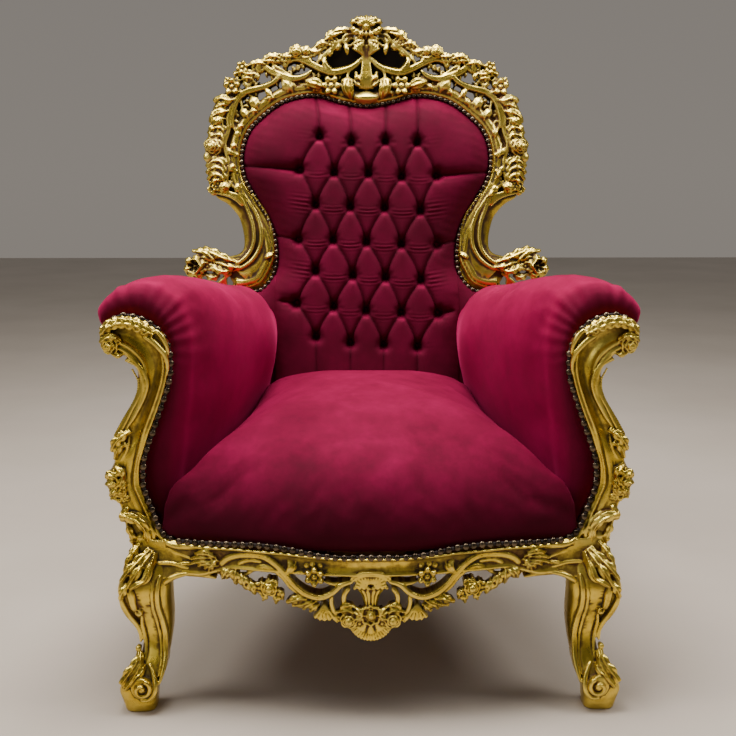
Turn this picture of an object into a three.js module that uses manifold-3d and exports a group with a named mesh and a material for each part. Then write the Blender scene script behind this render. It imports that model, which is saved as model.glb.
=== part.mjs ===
// A carved and gilded throne armchair with a deep-buttoned back, a domed seat and rolled arms.
// Millimetres, +Z up, the chair faces -Y, x = 0 is its plane of symmetry.
import * as THREE from 'three';
import * as BufferGeometryUtils from 'three/addons/utils/BufferGeometryUtils.js';
import Module from 'manifold-3d';

const wasm = await Module();
wasm.setup();

// ---------------------------------------------------------------- driving dimensions
const DEPTH_SHIFT = -297.4; // from the plane of the arm facings to the middle of the depth
const GAP = 0.4; // clearance between pieces that touch
const SOFT_GAP = 1.2; // clearance round an upholstered piece

const BACK_Y = 570; // depth of the back's front plane at BACK_Z
const BACK_Z = 650;
const BACK_RAKE = 0.2; // the back leans 200 mm in each metre
const BACK_THICK = 26; // back frame, behind its front plane
const RAIL_TOP = 290;
const RAIL_BOTTOM = 236;
const RAIL_THICK = 34;
const RAIL_BOW = 82; // the front rail's middle ahead of its ends
const FRONT_HALF = 352; // half the length of the front rail
const REAR_HALF = 236; // centre of the back's lower stiles
const SEAT_TOP = 519;
const ARM_FACE = 42; // depth of the carved arm facings
const FOOT_Y = -34; // centre of the front feet

const GOLD = { color: 0xd4a840, roughness: 0.32, metalness: 0.9 };
const GOLD_PLAIN = { color: 0xc49a3a, roughness: 0.4, metalness: 0.85 };
const VELVET = { color: 0x8c1234, roughness: 0.85, metalness: 0 };
const BACKING = { color: 0x241713, roughness: 0.7, metalness: 0 };

// ---------------------------------------------------------------- helpers
const V = (x, y, z) => new THREE.Vector3(x, y, z);

function solidOf(geometry) {
  const g = geometry.clone();
  for (const name of Object.keys(g.attributes)) if (name !== 'position') g.deleteAttribute(name);
  const m = BufferGeometryUtils.mergeVertices(g, 1e-4);
  const index = m.index.array;
  const keep = [];
  for (let i = 0; i < index.length; i += 3) {
    const [a, b, c] = [index[i], index[i + 1], index[i + 2]];
    if (a !== b && b !== c && c !== a) keep.push(a, b, c);
  }
  return new wasm.Manifold(new wasm.Mesh({
    numProp: 3,
    vertProperties: Float32Array.from(m.attributes.position.array),
    triVerts: Uint32Array.from(keep),
  }));
}

function geometryOf(solid) {
  const mesh = solid.getMesh();
  const g = new THREE.BufferGeometry();
  const p = new Float32Array(mesh.numVert * 3);
  for (let i = 0; i < mesh.numVert; i++) {
    for (let k = 0; k < 3; k++) p[3 * i + k] = mesh.vertProperties[i * mesh.numProp + k];
  }
  g.setAttribute('position', new THREE.BufferAttribute(p, 3));
  g.setIndex(new THREE.BufferAttribute(Uint32Array.from(mesh.triVerts), 1));
  return g;
}

const join = (...solids) => solids.flat().reduce((a, b) => a.add(b));

// The largest body of a solid, so that a cut never leaves a loose chip.
function largest(solid) {
  const parts = solid.decompose();
  return parts.reduce((a, b) => (b.volume() > a.volume() ? b : a));
}

// Whether every edge is shared by just two triangles once vertices at one place are merged.
function sound(solid) {
  const m = BufferGeometryUtils.mergeVertices(geometryOf(solid), 1e-3);
  const t = m.index.array;
  const seen = new Map();
  for (let i = 0; i < t.length; i += 3) {
    for (let k = 0; k < 3; k++) {
      const [a, b] = [t[i + k], t[i + ((k + 1) % 3)]];
      if (a === b) return false;
      const key = a < b ? a * 1e6 + b : b * 1e6 + a;
      seen.set(key, (seen.get(key) ?? 0) + 1);
    }
  }
  return [...seen.values()].every((count) => count === 2);
}

// Merges vertices that lie closer than about `tol`, where the result is still one sound body.
function tidied(solid, tol = 2.4) {
  const volume = solid.volume();
  for (let t = tol; t > 0.3; t *= 0.75) {
    const m = BufferGeometryUtils.mergeVertices(geometryOf(solid), t);
    try {
      const s = solidOf(m);
      if (Math.abs(s.volume() / volume - 1) < 0.02 && s.decompose().length === 1 && sound(s)) return s;
    } catch (error) {
      if (!String(error).includes('anifold')) throw error;
    }
  }
  return solid;
}

// Moves every vertex of a solid by f(position).
function reshape(solid, f) {
  const g = geometryOf(solid);
  const p = g.attributes.position;
  const v = new THREE.Vector3();
  for (let i = 0; i < p.count; i++) {
    v.fromBufferAttribute(p, i);
    f(v);
    p.setXYZ(i, v.x, v.y, v.z);
  }
  return solidOf(g);
}

// A solid swollen by d along its vertex normals, for cutting a clearance.
function grown(solid, d) {
  const g = geometryOf(solid);
  g.computeVertexNormals();
  const p = g.attributes.position;
  const n = g.attributes.normal;
  for (let i = 0; i < p.count; i++) {
    p.setXYZ(i, p.getX(i) + d * n.getX(i), p.getY(i) + d * n.getY(i), p.getZ(i) + d * n.getZ(i));
  }
  return solidOf(g);
}

// A mirror image in the plane x = 0, with its faces turned back out.
function mirrored(solid) {
  const g = geometryOf(solid);
  const p = g.attributes.position;
  for (let i = 0; i < p.count; i++) p.setX(i, -p.getX(i));
  const t = g.index.array;
  for (let i = 0; i < t.length; i += 3) [t[i], t[i + 1]] = [t[i + 1], t[i]];
  return solidOf(g);
}

// A closed skin over rings of equal length, with a fan at each end.
function skin(rings, flip = false) {
  const m = rings[0].length;
  const pos = [];
  const idx = [];
  for (const ring of rings) for (const v of ring) pos.push(v.x, v.y, v.z);
  for (let i = 0; i + 1 < rings.length; i++) {
    for (let j = 0; j < m; j++) {
      const a = i * m + j;
      const b = i * m + ((j + 1) % m);
      idx.push(a, b, b + m, a, b + m, a + m);
    }
  }
  for (const [k, turn] of [[0, true], [rings.length - 1, false]]) {
    const c = rings[k].reduce((s, v) => s.add(v), V(0, 0, 0)).divideScalar(m);
    const ci = pos.length / 3;
    pos.push(c.x, c.y, c.z);
    for (let j = 0; j < m; j++) {
      const a = k * m + j;
      const b = k * m + ((j + 1) % m);
      if (turn) idx.push(b, a, ci);
      else idx.push(a, b, ci);
    }
  }
  if (flip) for (let i = 0; i < idx.length; i += 3) [idx[i], idx[i + 1]] = [idx[i + 1], idx[i]];
  const g = new THREE.BufferGeometry();
  g.setAttribute('position', new THREE.Float32BufferAttribute(pos, 3));
  g.setIndex(idx);
  const solid = solidOf(g);
  return solid.volume() < 0 ? skin(rings, !flip) : solid;
}

// A tapering branch: points are [x, z, forward], half widths w along it, and its depth is `deep` times its width.
function branch(points, w, { seg = 12, sides = 6, deep = 1, turn = 0 } = {}) {
  const curve = new THREE.CatmullRomCurve3(points.map(([x, z, f = 0]) => V(x, -f, z)), false, 'centripetal');
  const rings = [];
  for (let i = 0; i <= seg; i++) {
    const t = i / seg;
    const c = curve.getPointAt(t);
    const tan = curve.getTangentAt(t);
    const side = V(tan.z, 0, -tan.x).normalize();
    const out = new THREE.Vector3().crossVectors(side, tan).normalize();
    const k = t * (w.length - 1);
    const lo = Math.min(Math.floor(k), w.length - 2);
    const r = w[lo] + (w[lo + 1] - w[lo]) * (k - lo);
    const ring = [];
    for (let j = 0; j < sides; j++) {
      const a = turn + (2 * Math.PI * j) / sides;
      ring.push(c.clone().addScaledVector(side, Math.cos(a) * r).addScaledVector(out, Math.sin(a) * r * deep));
    }
    rings.push(ring);
  }
  return skin(rings);
}

// A rose or flower: a scalloped dome facing forward, centred at [x, z].
function bloom(x, z, r, { forward = 10, back = 8, petals = 5, height = 0.75, sides = 0 } = {}) {
  const n = sides || petals * 2;
  const profile = [
    V(0, -back, 0), V(r * 0.62, -back, 0), V(r, forward + r * height * 0.3, 0), V(r * 0.55, forward + r * height, 0),
    V(0, forward + r * height * 0.8, 0),
  ];
  const g = new THREE.LatheGeometry(profile.map((v) => new THREE.Vector2(v.x < 0.01 ? 0 : v.x, v.y)), n);
  const p = g.attributes.position;
  for (let i = 0; i < p.count; i++) {
    const a = Math.atan2(p.getZ(i), p.getX(i));
    const q = Math.hypot(p.getX(i), p.getZ(i));
    const s = q * (1 + 0.13 * Math.cos(petals * a) * Math.min(1, q / r));
    // The lathe's axis (y) is turned to face -Y, and its z becomes the height.
    p.setXYZ(i, x + s * Math.cos(a), -p.getY(i), z + s * Math.sin(a));
  }
  const solid = solidOf(g);
  if (solid.volume() > 0) return solid;
  const t = g.index.array;
  for (let i = 0; i < t.length; i += 3) [t[i], t[i + 1]] = [t[i + 1], t[i]];
  return solidOf(g);
}

// A flat board with a spline outline [x, z], its front face at `forward` and its back at -back.
function board(points, forward, back, { bevel = 4, divisions = 48, closed = true } = {}) {
  const outline = new THREE.CatmullRomCurve3(points.map(([x, z]) => V(x, z, 0)), closed, 'centripetal');
  const shape = new THREE.Shape(outline.getSpacedPoints(divisions).slice(0, divisions).map((v) => new THREE.Vector2(v.x, v.y)));
  const g = new THREE.ExtrudeGeometry(shape, {
    depth: forward + back - 2 * bevel, bevelEnabled: bevel > 0, bevelThickness: bevel, bevelSize: bevel,
    bevelOffset: -bevel, bevelSegments: 1, curveSegments: 1,
  });
  const p = g.attributes.position;
  for (let i = 0; i < p.count; i++) {
    const [x, y, z] = [p.getX(i), p.getY(i), p.getZ(i)];
    p.setXYZ(i, x, back - bevel - z, y);
  }
  const solid = solidOf(g);
  return solid.volume() > 0 ? solid : solidOf(flipped(g));
}

function flipped(g) {
  const m = g.index ? g.clone() : BufferGeometryUtils.mergeVertices(g);
  const t = m.index.array;
  for (let i = 0; i < t.length; i += 3) [t[i], t[i + 1]] = [t[i + 1], t[i]];
  return m;
}

function box(x0, x1, y0, y1, z0, z1) {
  const g = new THREE.BoxGeometry(x1 - x0, y1 - y0, z1 - z0);
  g.translate((x0 + x1) / 2, (y0 + y1) / 2, (z0 + z1) / 2);
  return solidOf(g);
}

const both = (list, make) => list.flatMap((item) => {
  const s = make(item);
  return [s, mirrored(s)];
});

const smooth = (a, b, x) => {
  const t = Math.min(1, Math.max(0, (x - a) / (b - a)));
  return t * t * (3 - 2 * t);
};
// A value read from a short table of [key, value] pairs, eased between them.
function along(table, x) {
  if (x <= table[0][0]) return table[0][1];
  for (let i = 1; i < table.length; i++) {
    if (x <= table[i][0]) {
      const [x0, y0] = table[i - 1];
      const [x1, y1] = table[i];
      const s0 = i > 1 ? (y1 - table[i - 2][1]) / (x1 - table[i - 2][0]) : (y1 - y0) / (x1 - x0);
      const s1 = i + 1 < table.length ? (table[i + 1][1] - y0) / (table[i + 1][0] - x0) : (y1 - y0) / (x1 - x0);
      const h = x1 - x0;
      const t = (x - x0) / h;
      return (2 * t ** 3 - 3 * t * t + 1) * y0 + (t ** 3 - 2 * t * t + t) * h * s0
        + (-2 * t ** 3 + 3 * t * t) * y1 + (t ** 3 - t * t) * h * s1;
    }
  }
  return table[table.length - 1][1];
}

const backY = (z) => BACK_Y + BACK_RAKE * (z - BACK_Z);
const rake = (v) => { v.y += backY(v.z); };
const bowY = (x) => -RAIL_BOW * Math.cos(Math.min(1, Math.abs(x) / 400) * Math.PI / 2) ** 1.25 + 6;

// ---------------------------------------------------------------- back frame
// Half of the opening's edge, from the middle of the crest down to the lower stile, as [x, z].
const OPENING = [
  [0, 1057], [55, 1066], [112, 1080], [179, 1068], [227, 1036], [258, 1003], [272, 960], [268, 905],
  [242, 858], [216, 815], [201, 775], [197, 735], [202, 690], [206, 600], [204, 480], [200, 292],
];
function openingCurve(offset) {
  const half = OPENING.map(([x, z], i) => {
    const a = OPENING[Math.max(0, i - 1)];
    const b = OPENING[Math.min(OPENING.length - 1, i + 1)];
    const n = new THREE.Vector2(-(b[1] - a[1]), b[0] - a[0]).normalize().multiplyScalar(offset);
    return i === 0 ? [0, z + offset] : [x + n.x, z + n.y];
  });
  const left = half.slice(1).reverse().map(([x, z]) => [-x, z]);
  return [...left, ...half];
}

function backFrame() {
  const moulding = branch(openingCurve(12).map(([x, z]) => [x, z, -1]), [13, 13, 13, 13, 13, 13, 13],
    { seg: 36, sides: 6, deep: 1.9, turn: Math.PI / 6 });
  // The ridged C-scroll of each stile and the plain lower stile.
  const stile = [[232, 292, -4], [236, 480, -4], [238, 640, -2], [238, 700, 0], [236, 760, 3], [250, 812, 5], [284, 848, 6], [322, 866, 6]];
  const parts = [
    ...both([stile], (s) => branch(s, [27, 27, 28, 33, 33, 28, 24, 12], { seg: 10, sides: 7, deep: 0.75 })),
    // the scroll's eye at the shoulder, and the leaf that flows out to the rose finial
    ...both([0], () => bloom(318, 868, 21, { forward: 12, back: 24, petals: 4 })),
    ...both([0], () => branch([[238, 690, -2], [285, 700, 2], [330, 714, 4], [360, 722, 4]], [34, 26, 20, 18], { seg: 4, sides: 6, deep: 0.9 })),
    ...both([0], () => branch([[262, 716, 4], [286, 734, 10], [312, 744, 10], [340, 738, 6]], [10, 15, 14, 8], { seg: 3, sides: 4, deep: 0.7 })),
    ...both([0], () => bloom(371, 724, 34, { forward: 14, back: 18, petals: 5, height: 0.6 })),
    // outer rim of the shoulder, and of the crest
    ...both([0], () => branch([[326, 868, 2], [341, 905, 3], [345, 950, 4], [343, 992, 4], [334, 1028, 4], [320, 1062, 4], [298, 1094, 4], [266, 1122, 4], [214, 1143, 4]],
      [13, 18, 21, 21, 21, 21, 20, 18, 16], { seg: 9, sides: 5, deep: 1.2 })),
    ...both([0], () => branch([[228, 1138, 4], [196, 1150, 4], [150, 1161, 5], [110, 1174, 6], [76, 1196, 6], [38, 1220, 6], [0, 1228, 4]],
      [14, 16, 16, 15, 15, 16, 16], { seg: 9, sides: 5, deep: 1.2 })),
    // stem between the rim and the moulding
    ...both([0], () => branch([[302, 872, 4], [312, 930, 6], [313, 988, 7], [300, 1044, 7], [260, 1086, 7], [206, 1112, 6], [152, 1122, 4], [112, 1100, 2]],
      [11, 11, 11, 11, 12, 12, 11, 10], { seg: 10, sides: 4, deep: 1.3 })),
    // S-scroll from the column, curling round a small opening
    ...both([0], () => branch([[4, 1150, 6], [30, 1128, 8], [68, 1118, 9], [104, 1134, 10], [140, 1156, 10], [176, 1152, 9], [184, 1130, 8]],
      [11, 10, 10, 11, 11, 10, 8], { seg: 8, sides: 4, deep: 1.3 })),
    ...both([0], () => branch([[10, 1160, 4], [26, 1186, 6], [58, 1192, 7], [90, 1178, 7], [108, 1150, 6], [106, 1128, 4]],
      [9, 9, 9, 9, 9, 8], { seg: 7, sides: 4, deep: 1.3 })),
    // roses, flowers and leaves that bind the work together
    bloom(0, 1230, 25, { forward: 18, back: 16, petals: 5, height: 0.7 }),
    ...both([[134, 1172, 19], [246, 1138, 20], [308, 1096, 21], [342, 1022, 20], [347, 948, 21]],
      ([x, z, r]) => bloom(x, z, r, { forward: 10, back: 16, petals: 3 })),
    ...both([[76, 1100, 16], [136, 1108, 15], [220, 1078, 16], [286, 985, 15]],
      ([x, z, r]) => bloom(x, z, r, { forward: 8, back: 18, petals: 3 })),
  ];
  // The fluted column with its flared top, at the middle of the crest.
  const column = new THREE.LatheGeometry([[0, 1062], [18, 1066], [22, 1082], [12, 1098], [16, 1120], [18, 1146], [12, 1168],
    [26, 1188], [30, 1198], [0, 1212]].map(([r, z]) => new THREE.Vector2(r, z)), 8);
  const p = column.attributes.position;
  for (let i = 0; i < p.count; i++) p.setXYZ(i, p.getX(i), -p.getZ(i) * 0.75 - 4, p.getY(i));
  let col = solidOf(column);
  if (col.volume() < 0) col = solidOf(flipped(column));
  let solid = join(moulding, col, ...parts);
  // flat behind, level at the bottom where it stands on the rear rail
  solid = solid.subtract(box(-600, 600, BACK_THICK, 200, 200, 1400));
  solid = solid.subtract(box(-600, 600, -200, 200, 200, RAIL_TOP + 10));
  return tidied(largest(reshape(solid, rake)));
}

// The dark board fixed behind the middle of the pierced crest, clear of the outside back's upper edge.
function crestBacking() {
  const half = [[0, 1069], [60, 1077], [110, 1091], [124, 1100], [128, 1120], [123, 1140], [106, 1160], [80, 1181], [46, 1203], [0, 1211]];
  const outline = [...half, ...half.slice(1, -1).reverse().map(([x, z]) => [-x, z])];
  return reshape(board(outline, -(BACK_THICK + GAP), BACK_THICK + 6, { bevel: 1, divisions: 40 }), rake);
}

// ---------------------------------------------------------------- front rail with its pierced apron
function frontRail() {
  const n = 18;
  const rings = [];
  for (let i = 0; i <= n; i++) {
    const x = -FRONT_HALF + (2 * FRONT_HALF * i) / n;
    const wave = 4 * Math.cos((x / 190) * Math.PI) - 3;
    rings.push([
      V(x, -12, RAIL_BOTTOM + 6), V(x, -19, RAIL_BOTTOM + 26), V(x, -13, RAIL_TOP - 12), V(x, -8, RAIL_TOP - wave * 0.4),
      V(x, RAIL_THICK - 12, RAIL_TOP), V(x, RAIL_THICK - 12, RAIL_BOTTOM),
    ]);
  }
  const rail = skin(rings);
  const parts = [
    // the long S-branch that falls from the corner to the middle
    ...both([0], () => branch([[300, 246, 10], [256, 240, 14], [214, 226, 14], [176, 208, 14], [138, 198, 14], [100, 192, 14], [62, 182, 15], [28, 166, 16]],
      [8, 13, 15, 14, 14, 14, 14, 12], { seg: 9, sides: 4, deep: 0.9 })),
    ...both([0], () => branch([[232, 240, 10], [196, 250, 12], [168, 240, 14], [150, 220, 14], [120, 204, 14], [92, 214, 14], [66, 238, 12]],
      [9, 10, 10, 10, 10, 10, 10], { seg: 7, sides: 4, deep: 1.0 })),
    // shell, cup and hanging fan of the middle
    bloom(0, 240, 32, { forward: 16, back: 8, petals: 5, height: 0.35 }),
    branch([[0, 232, 12], [0, 212, 14], [0, 194, 16], [0, 182, 18]], [12, 9, 13, 14], { seg: 5, sides: 8, deep: 0.8 }),
    bloom(0, 182, 19, { forward: 20, back: 6, petals: 6 }),
    bloom(0, 160, 20, { forward: 14, back: 8, petals: 5, height: 0.5 }),
    ...both([[42, 182, 16], [108, 238, 13], [160, 212, 16], [204, 232, 13], [98, 194, 13]],
      ([x, z, r]) => bloom(x, z, r, { forward: 14, back: 6, petals: 3 })),
    ...both([0], () => branch([[36, 246, 10], [40, 226, 12], [30, 206, 14], [12, 196, 14]], [8, 7, 7, 8], { seg: 6, sides: 5 })),
  ];
  let solid = join(rail, ...parts);
  solid = solid.subtract(box(-500, 500, RAIL_THICK - 12, 200, 0, 400));
  return tidied(largest(reshape(solid, (v) => { v.y += bowY(v.x); })));
}

// ---------------------------------------------------------------- front legs (left one; the right one is its mirror image)
const LEG = [ // [z, outer x, inner x, centre y, half depth]
  [0, -425, -366, FOOT_Y, 25], [18, -429, -364, FOOT_Y - 2, 27], [40, -436, -360, FOOT_Y - 3, 29], [58, -430, -353, FOOT_Y, 28],
  [84, -411, -346, -22, 25], [112, -403, -343, -8, 26], [140, -402, -342, 0, 29], [162, -414, -342, 0, 32],
  [188, -432, -343, -4, 35], [212, -437, -346, -5, 37], [240, -424, -350, 0, 34], [268, -414, -352, 6, 30], [300, -412, -353, 10, 26],
];
function frontLeg() {
  const at = (k, z) => along(LEG.map((row) => [row[0], row[k]]), z);
  const levels = [0, 16, 40, 60, 84, 112, 140, 164, 190, 214, 242, 299];
  const rings = levels.map((z) => {
    const [x0, x1, cy, hd] = [1, 2, 3, 4].map((k) => at(k, z));
    const ring = [];
    for (let j = 0; j < 10; j++) {
      const a = (2 * Math.PI * (j + 0.5)) / 10;
      const k = 0.62; // between a box and an ellipse
      const c = Math.sign(Math.cos(a)) * Math.abs(Math.cos(a)) ** k;
      const s = Math.sign(Math.sin(a)) * Math.abs(Math.sin(a)) ** k;
      ring.push(V((x0 + x1) / 2 + (c * (x1 - x0)) / 2, cy + s * hd, z));
    }
    return ring;
  });
  const parts = [
    // knee leaf, ankle leaf, foot volute
    branch([[-392, 262, 24], [-404, 226, 42], [-408, 190, 40], [-392, 162, 30]], [15, 20, 17, 6], { seg: 4, sides: 5, deep: 0.5 }),
    branch([[-382, 86, 42], [-388, 64, 56], [-392, 44, 60]], [6, 11, 15], { seg: 3, sides: 5, deep: 0.6 }),
    bloom(-398, 32, 21, { forward: 56, back: -20, petals: 3, height: 0.3 }),
  ];
  return tidied(largest(join(skin(rings), ...parts)));
}

// ---------------------------------------------------------------- arm facings (left)
const FACING_OUT = [ // outer edge, from the scroll's tip down to the leg
  [-452, 664], [-462, 648], [-452, 630], [-430, 618], [-404, 604], [-393, 580], [-394, 552], [-408, 528], [-424, 504], [-440, 476],
  [-445, 452], [-446, 425], [-455, 402], [-447, 372], [-434, 352], [-430, 330], [-420, 302],
];
const FACING_IN = [ // inner edge, beside the nails, from the leg up
  [-350, 302], [-362, 318], [-377, 348], [-388, 376], [-394, 404], [-390, 438], [-380, 468], [-367, 496], [-357, 527], [-345, 566],
  [-341, 608], [-347, 642], [-361, 664], [-384, 676], [-412, 680], [-436, 676],
];
function armFront() {
  const shape = board([...FACING_OUT, ...FACING_IN], 8, ARM_FACE - 8, { bevel: 4, divisions: 34 });
  const parts = [
    // volute, its collar of leaves, ridges of the cove, the rose cluster and the leaf below it
    bloom(-434, 648, 25, { forward: 10, back: 30, petals: 3, height: 0.5, sides: 10 }),
    branch([[-432, 668, 6], [-398, 668, 12], [-370, 650, 14], [-362, 612, 12], [-366, 566, 10]], [6, 11, 12, 10, 7], { seg: 6, sides: 5, deep: 0.8 }),
    branch([[-400, 640, 8], [-384, 604, 12], [-382, 560, 12], [-396, 516, 10], [-420, 470, 10]], [6, 9, 9, 8, 7], { seg: 6, sides: 5, deep: 0.8 }),
    branch([[-372, 548, 8], [-384, 500, 12], [-402, 462, 12], [-416, 430, 10]], [6, 9, 9, 7], { seg: 4, sides: 5, deep: 0.8 }),
    bloom(-432, 402, 24, { forward: 12, back: 26, petals: 4 }),
    bloom(-420, 372, 17, { forward: 10, back: 20, petals: 3 }),
    bloom(-434, 452, 14, { forward: 8, back: 20, petals: 3 }),
    branch([[-412, 384, 8], [-408, 350, 14], [-396, 320, 14], [-386, 306, 10]], [9, 15, 15, 8], { seg: 4, sides: 5, deep: 0.6 }),
  ];
  let solid = join(shape, ...parts);
  solid = solid.subtract(box(-700, 0, -200, 200, 0, 299 + GAP));
  return tidied(largest(solid));
}

// ---------------------------------------------------------------- rails and rear legs
function sideRail() { // left: from behind the front leg to the rear leg
  const rings = [];
  const n = 8;
  for (let i = 0; i <= n; i++) {
    const t = i / n;
    const y = 46 + (508 - 46) * t;
    const x = -406 + 132 * t - 10 * Math.sin(Math.PI * t);
    rings.push([
      V(x + 2, y, RAIL_BOTTOM + 8), V(x - 5, y, RAIL_BOTTOM + 26), V(x, y, RAIL_TOP - 8), V(x + 6, y, RAIL_TOP),
      V(x + 34, y, RAIL_TOP), V(x + 34, y, RAIL_BOTTOM), V(x + 10, y, RAIL_BOTTOM),
    ]);
  }
  return skin(rings);
}

function rearLeg() { // left
  const rings = [];
  for (const [z, x, y, hx, hy] of [[0, -292, 640, 18, 17], [40, -288, 620, 19, 18], [110, -277, 588, 21, 20], [180, -266, 562, 23, 23],
    [236, -258, 545, 26, 28], [299, -254, 538, 27, 30]]) {
    const ring = [];
    for (let j = 0; j < 12; j++) {
      const a = (2 * Math.PI * (j + 0.5)) / 12;
      const c = Math.sign(Math.cos(a)) * Math.abs(Math.cos(a)) ** 0.5;
      const s = Math.sign(Math.sin(a)) * Math.abs(Math.sin(a)) ** 0.5;
      ring.push(V(x + c * hx, y + s * hy, z));
    }
    rings.push(ring);
  }
  return skin(rings);
}

function rearRail() {
  return join(box(-226, 226, 522, 556, RAIL_BOTTOM, 299), box(-226, 226, 526, 560, RAIL_BOTTOM + 12, RAIL_TOP - 10));
}

// ---------------------------------------------------------------- upholstery
// Left arm: sections across the arm from behind the facing back to the stile.
const ARM_ROWS = [ // [y, inner x at seat height, inner x at its fullest, crown x, crown z, outer x of the roll, roll z, outer wall x]
  [10, -346, -338, -392, 722, -460, 668, -408],
  [40, -336, -311, -376, 742, -470, 678, -410],
  [100, -328, -281, -352, 747, -473, 674, -408],
  [200, -311, -247, -326, 734, -458, 660, -394],
  [310, -284, -219, -299, 714, -430, 642, -368],
  [420, -250, -198, -280, 691, -398, 620, -332],
  [520, -222, -189, -268, 666, -366, 602, -298],
  [600, -214, -186, -264, 656, -352, 596, -286],
];
function armPad() {
  const bottom = RAIL_TOP + 3;
  const rings = ARM_ROWS.map(([y, xs, xi, xc, zc, xo, zo, xw]) => {
    const outline = new THREE.CatmullRomCurve3([
      V(xs - 12, y, bottom), V(xs, y, bottom + 60), V(xi - 14, y, 470), V(xi, y, 560), V(xi + 2, y, zo - 16), V(xi - 22, y, zc - 24),
      V(xc, y, zc), V(xc - (xc - xo) * 0.6, y, zc - 14), V(xo, y, zo + 8), V(xo + 8, y, zo - 24), V(xw, y, zo - 70), V(xw + 2, y, 460), V(xw + 4, y, bottom),
    ], false, 'centripetal');
    return outline.getSpacedPoints(17);
  });
  // its rear end stands level with the back of the stile
  return skin(rings).subtract(reshape(box(-700, 0, BACK_THICK - 4, 400, 100, 1000), rake));
}

function seatSolid() {
  // The plan of the seat at its nails, right half, from the middle of the front round to the back.
  const half = [];
  const n = 9;
  for (let i = 0; i <= n; i++) half.push([(FRONT_HALF - 6) * (i / n), 0]);
  const plan = half.map(([x]) => [x, bowY(x) - 6]);
  const sideX = along.bind(null, [[0, 346], [60, 334], [200, 310], [330, 280], [420, 248], [486, 196]]);
  for (const y of [40, 110, 190, 280, 370, 440]) plan.push([sideX(y), y]);
  for (const x of [186, 120, 60]) plan.push([x, 486]);
  const outline = [...plan, [0, 486], ...plan.slice(1).reverse().map(([x, y]) => [-x, y])];
  const cy = 270;
  // The height of the seat where it meets the arms and the back, and above the nails in front.
  const edge = (x, y) => (y < 20 ? 346 + 14 * smooth(250, 350, Math.abs(x)) : along([[20, 364], [120, 376], [250, 398], [370, 438], [486, 486]], y));
  const rings = [];
  for (const [scale, lift, bulge] of [[1, -1, 0], [1, -0.4, 12], [1, 0, 19], [0.95, 0, 20], [0.86, 0, 16], [0.72, 0, 10], [0.5, 0, 4], [0.25, 0, 0]]) {
    rings.push(outline.map(([x, y]) => {
      const front = smooth(60, -40, y) * Math.max(0, 1 - (x / 380) ** 4);
      const zE = edge(x, y);
      const p = y < 20 ? 0.6 : 0.8;
      const dome = zE + (SEAT_TOP - zE) * (1 - scale ** 2.4) ** p;
      const z = lift < 0 ? zE + lift * (zE - RAIL_TOP - 3) : dome;
      return V(x * scale, cy + (y - cy) * scale - bulge * front, z);
    }));
  }
  return skin(rings);
}

function backCushionSolid() {
  const inner = openingCurve(-3).map(([x, z]) => [x, Math.max(z, 306)]);
  const curve = new THREE.CatmullRomCurve3(inner.map(([x, z]) => V(x, 0, z)), false, 'centripetal');
  const outline = curve.getSpacedPoints(35);
  const bottom = [];
  for (const x of [140, 70, 0, -70, -140]) bottom.push(V(x, 0, 306));
  const ring = [...outline, ...bottom];
  const c = V(0, 0, 760);
  const rings = [];
  for (const [s, f] of [[1, -20], [1, 4], [0.93, 26], [0.75, 42], [0.5, 50], [0.22, 52]]) {
    rings.push(ring.map((v) => V(c.x + (v.x - c.x) * s, -f, c.z + (v.z - c.z) * s)));
  }
  return reshape(skin(rings), rake);
}

function backPanelSolid() {
  const outline = new THREE.CatmullRomCurve3(openingCurve(6).map(([x, z]) => V(x, z, 0)), false, 'centripetal').getSpacedPoints(32);
  const ring = [...outline.map((v) => V(v.x, 0, Math.max(v.y, 312))), V(100, 0, 312), V(0, 0, 312), V(-100, 0, 312)];
  const c = V(0, 0, 760);
  const rings = [];
  for (const [s, f] of [[1, -(BACK_THICK + GAP)], [0.985, -(BACK_THICK + 7)], [0.8, -(BACK_THICK + 11)], [0.4, -(BACK_THICK + 13)]]) {
    rings.push(ring.map((v) => V(v.x * s, -f, c.z + (v.z - c.z) * s)));
  }
  return reshape(skin(rings), rake);
}

// ---------------------------------------------------------------- assembly, with clearances
const back = backFrame();
const legL = frontLeg();
const legR = mirrored(legL);
const facingL = armFront();
const facingR = mirrored(facingL);
const rearL = rearLeg();
const rearR = mirrored(rearL);
const railFront = largest(frontRail().subtract(grown(legL, 0.7)).subtract(grown(legR, 0.7)));
const railL = largest(sideRail().subtract(grown(legL, 0.7)).subtract(grown(facingL, 0.7)).subtract(grown(rearL, 0.7)));
const railR = mirrored(railL);
const railRear = largest(rearRail().subtract(grown(rearL, 0.7)).subtract(grown(rearR, 0.7)).subtract(grown(back, 0.7)));

const soften = (solid, ...wood) => largest(wood.reduce((s, w) => s.subtract(grown(w, SOFT_GAP)).subtract(w), solid));
const padL = soften(armPad(), facingL, legL, back, railL, rearL);
const padR = mirrored(padL);
const seat = soften(seatSolid(), railFront, legL, legR, facingL, facingR, padL, padR, back);
const cushion = soften(backCushionSolid(), back, seat, padL, padR, railRear);
const panel = soften(backPanelSolid(), cushion, railRear, rearL, rearR);

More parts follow.
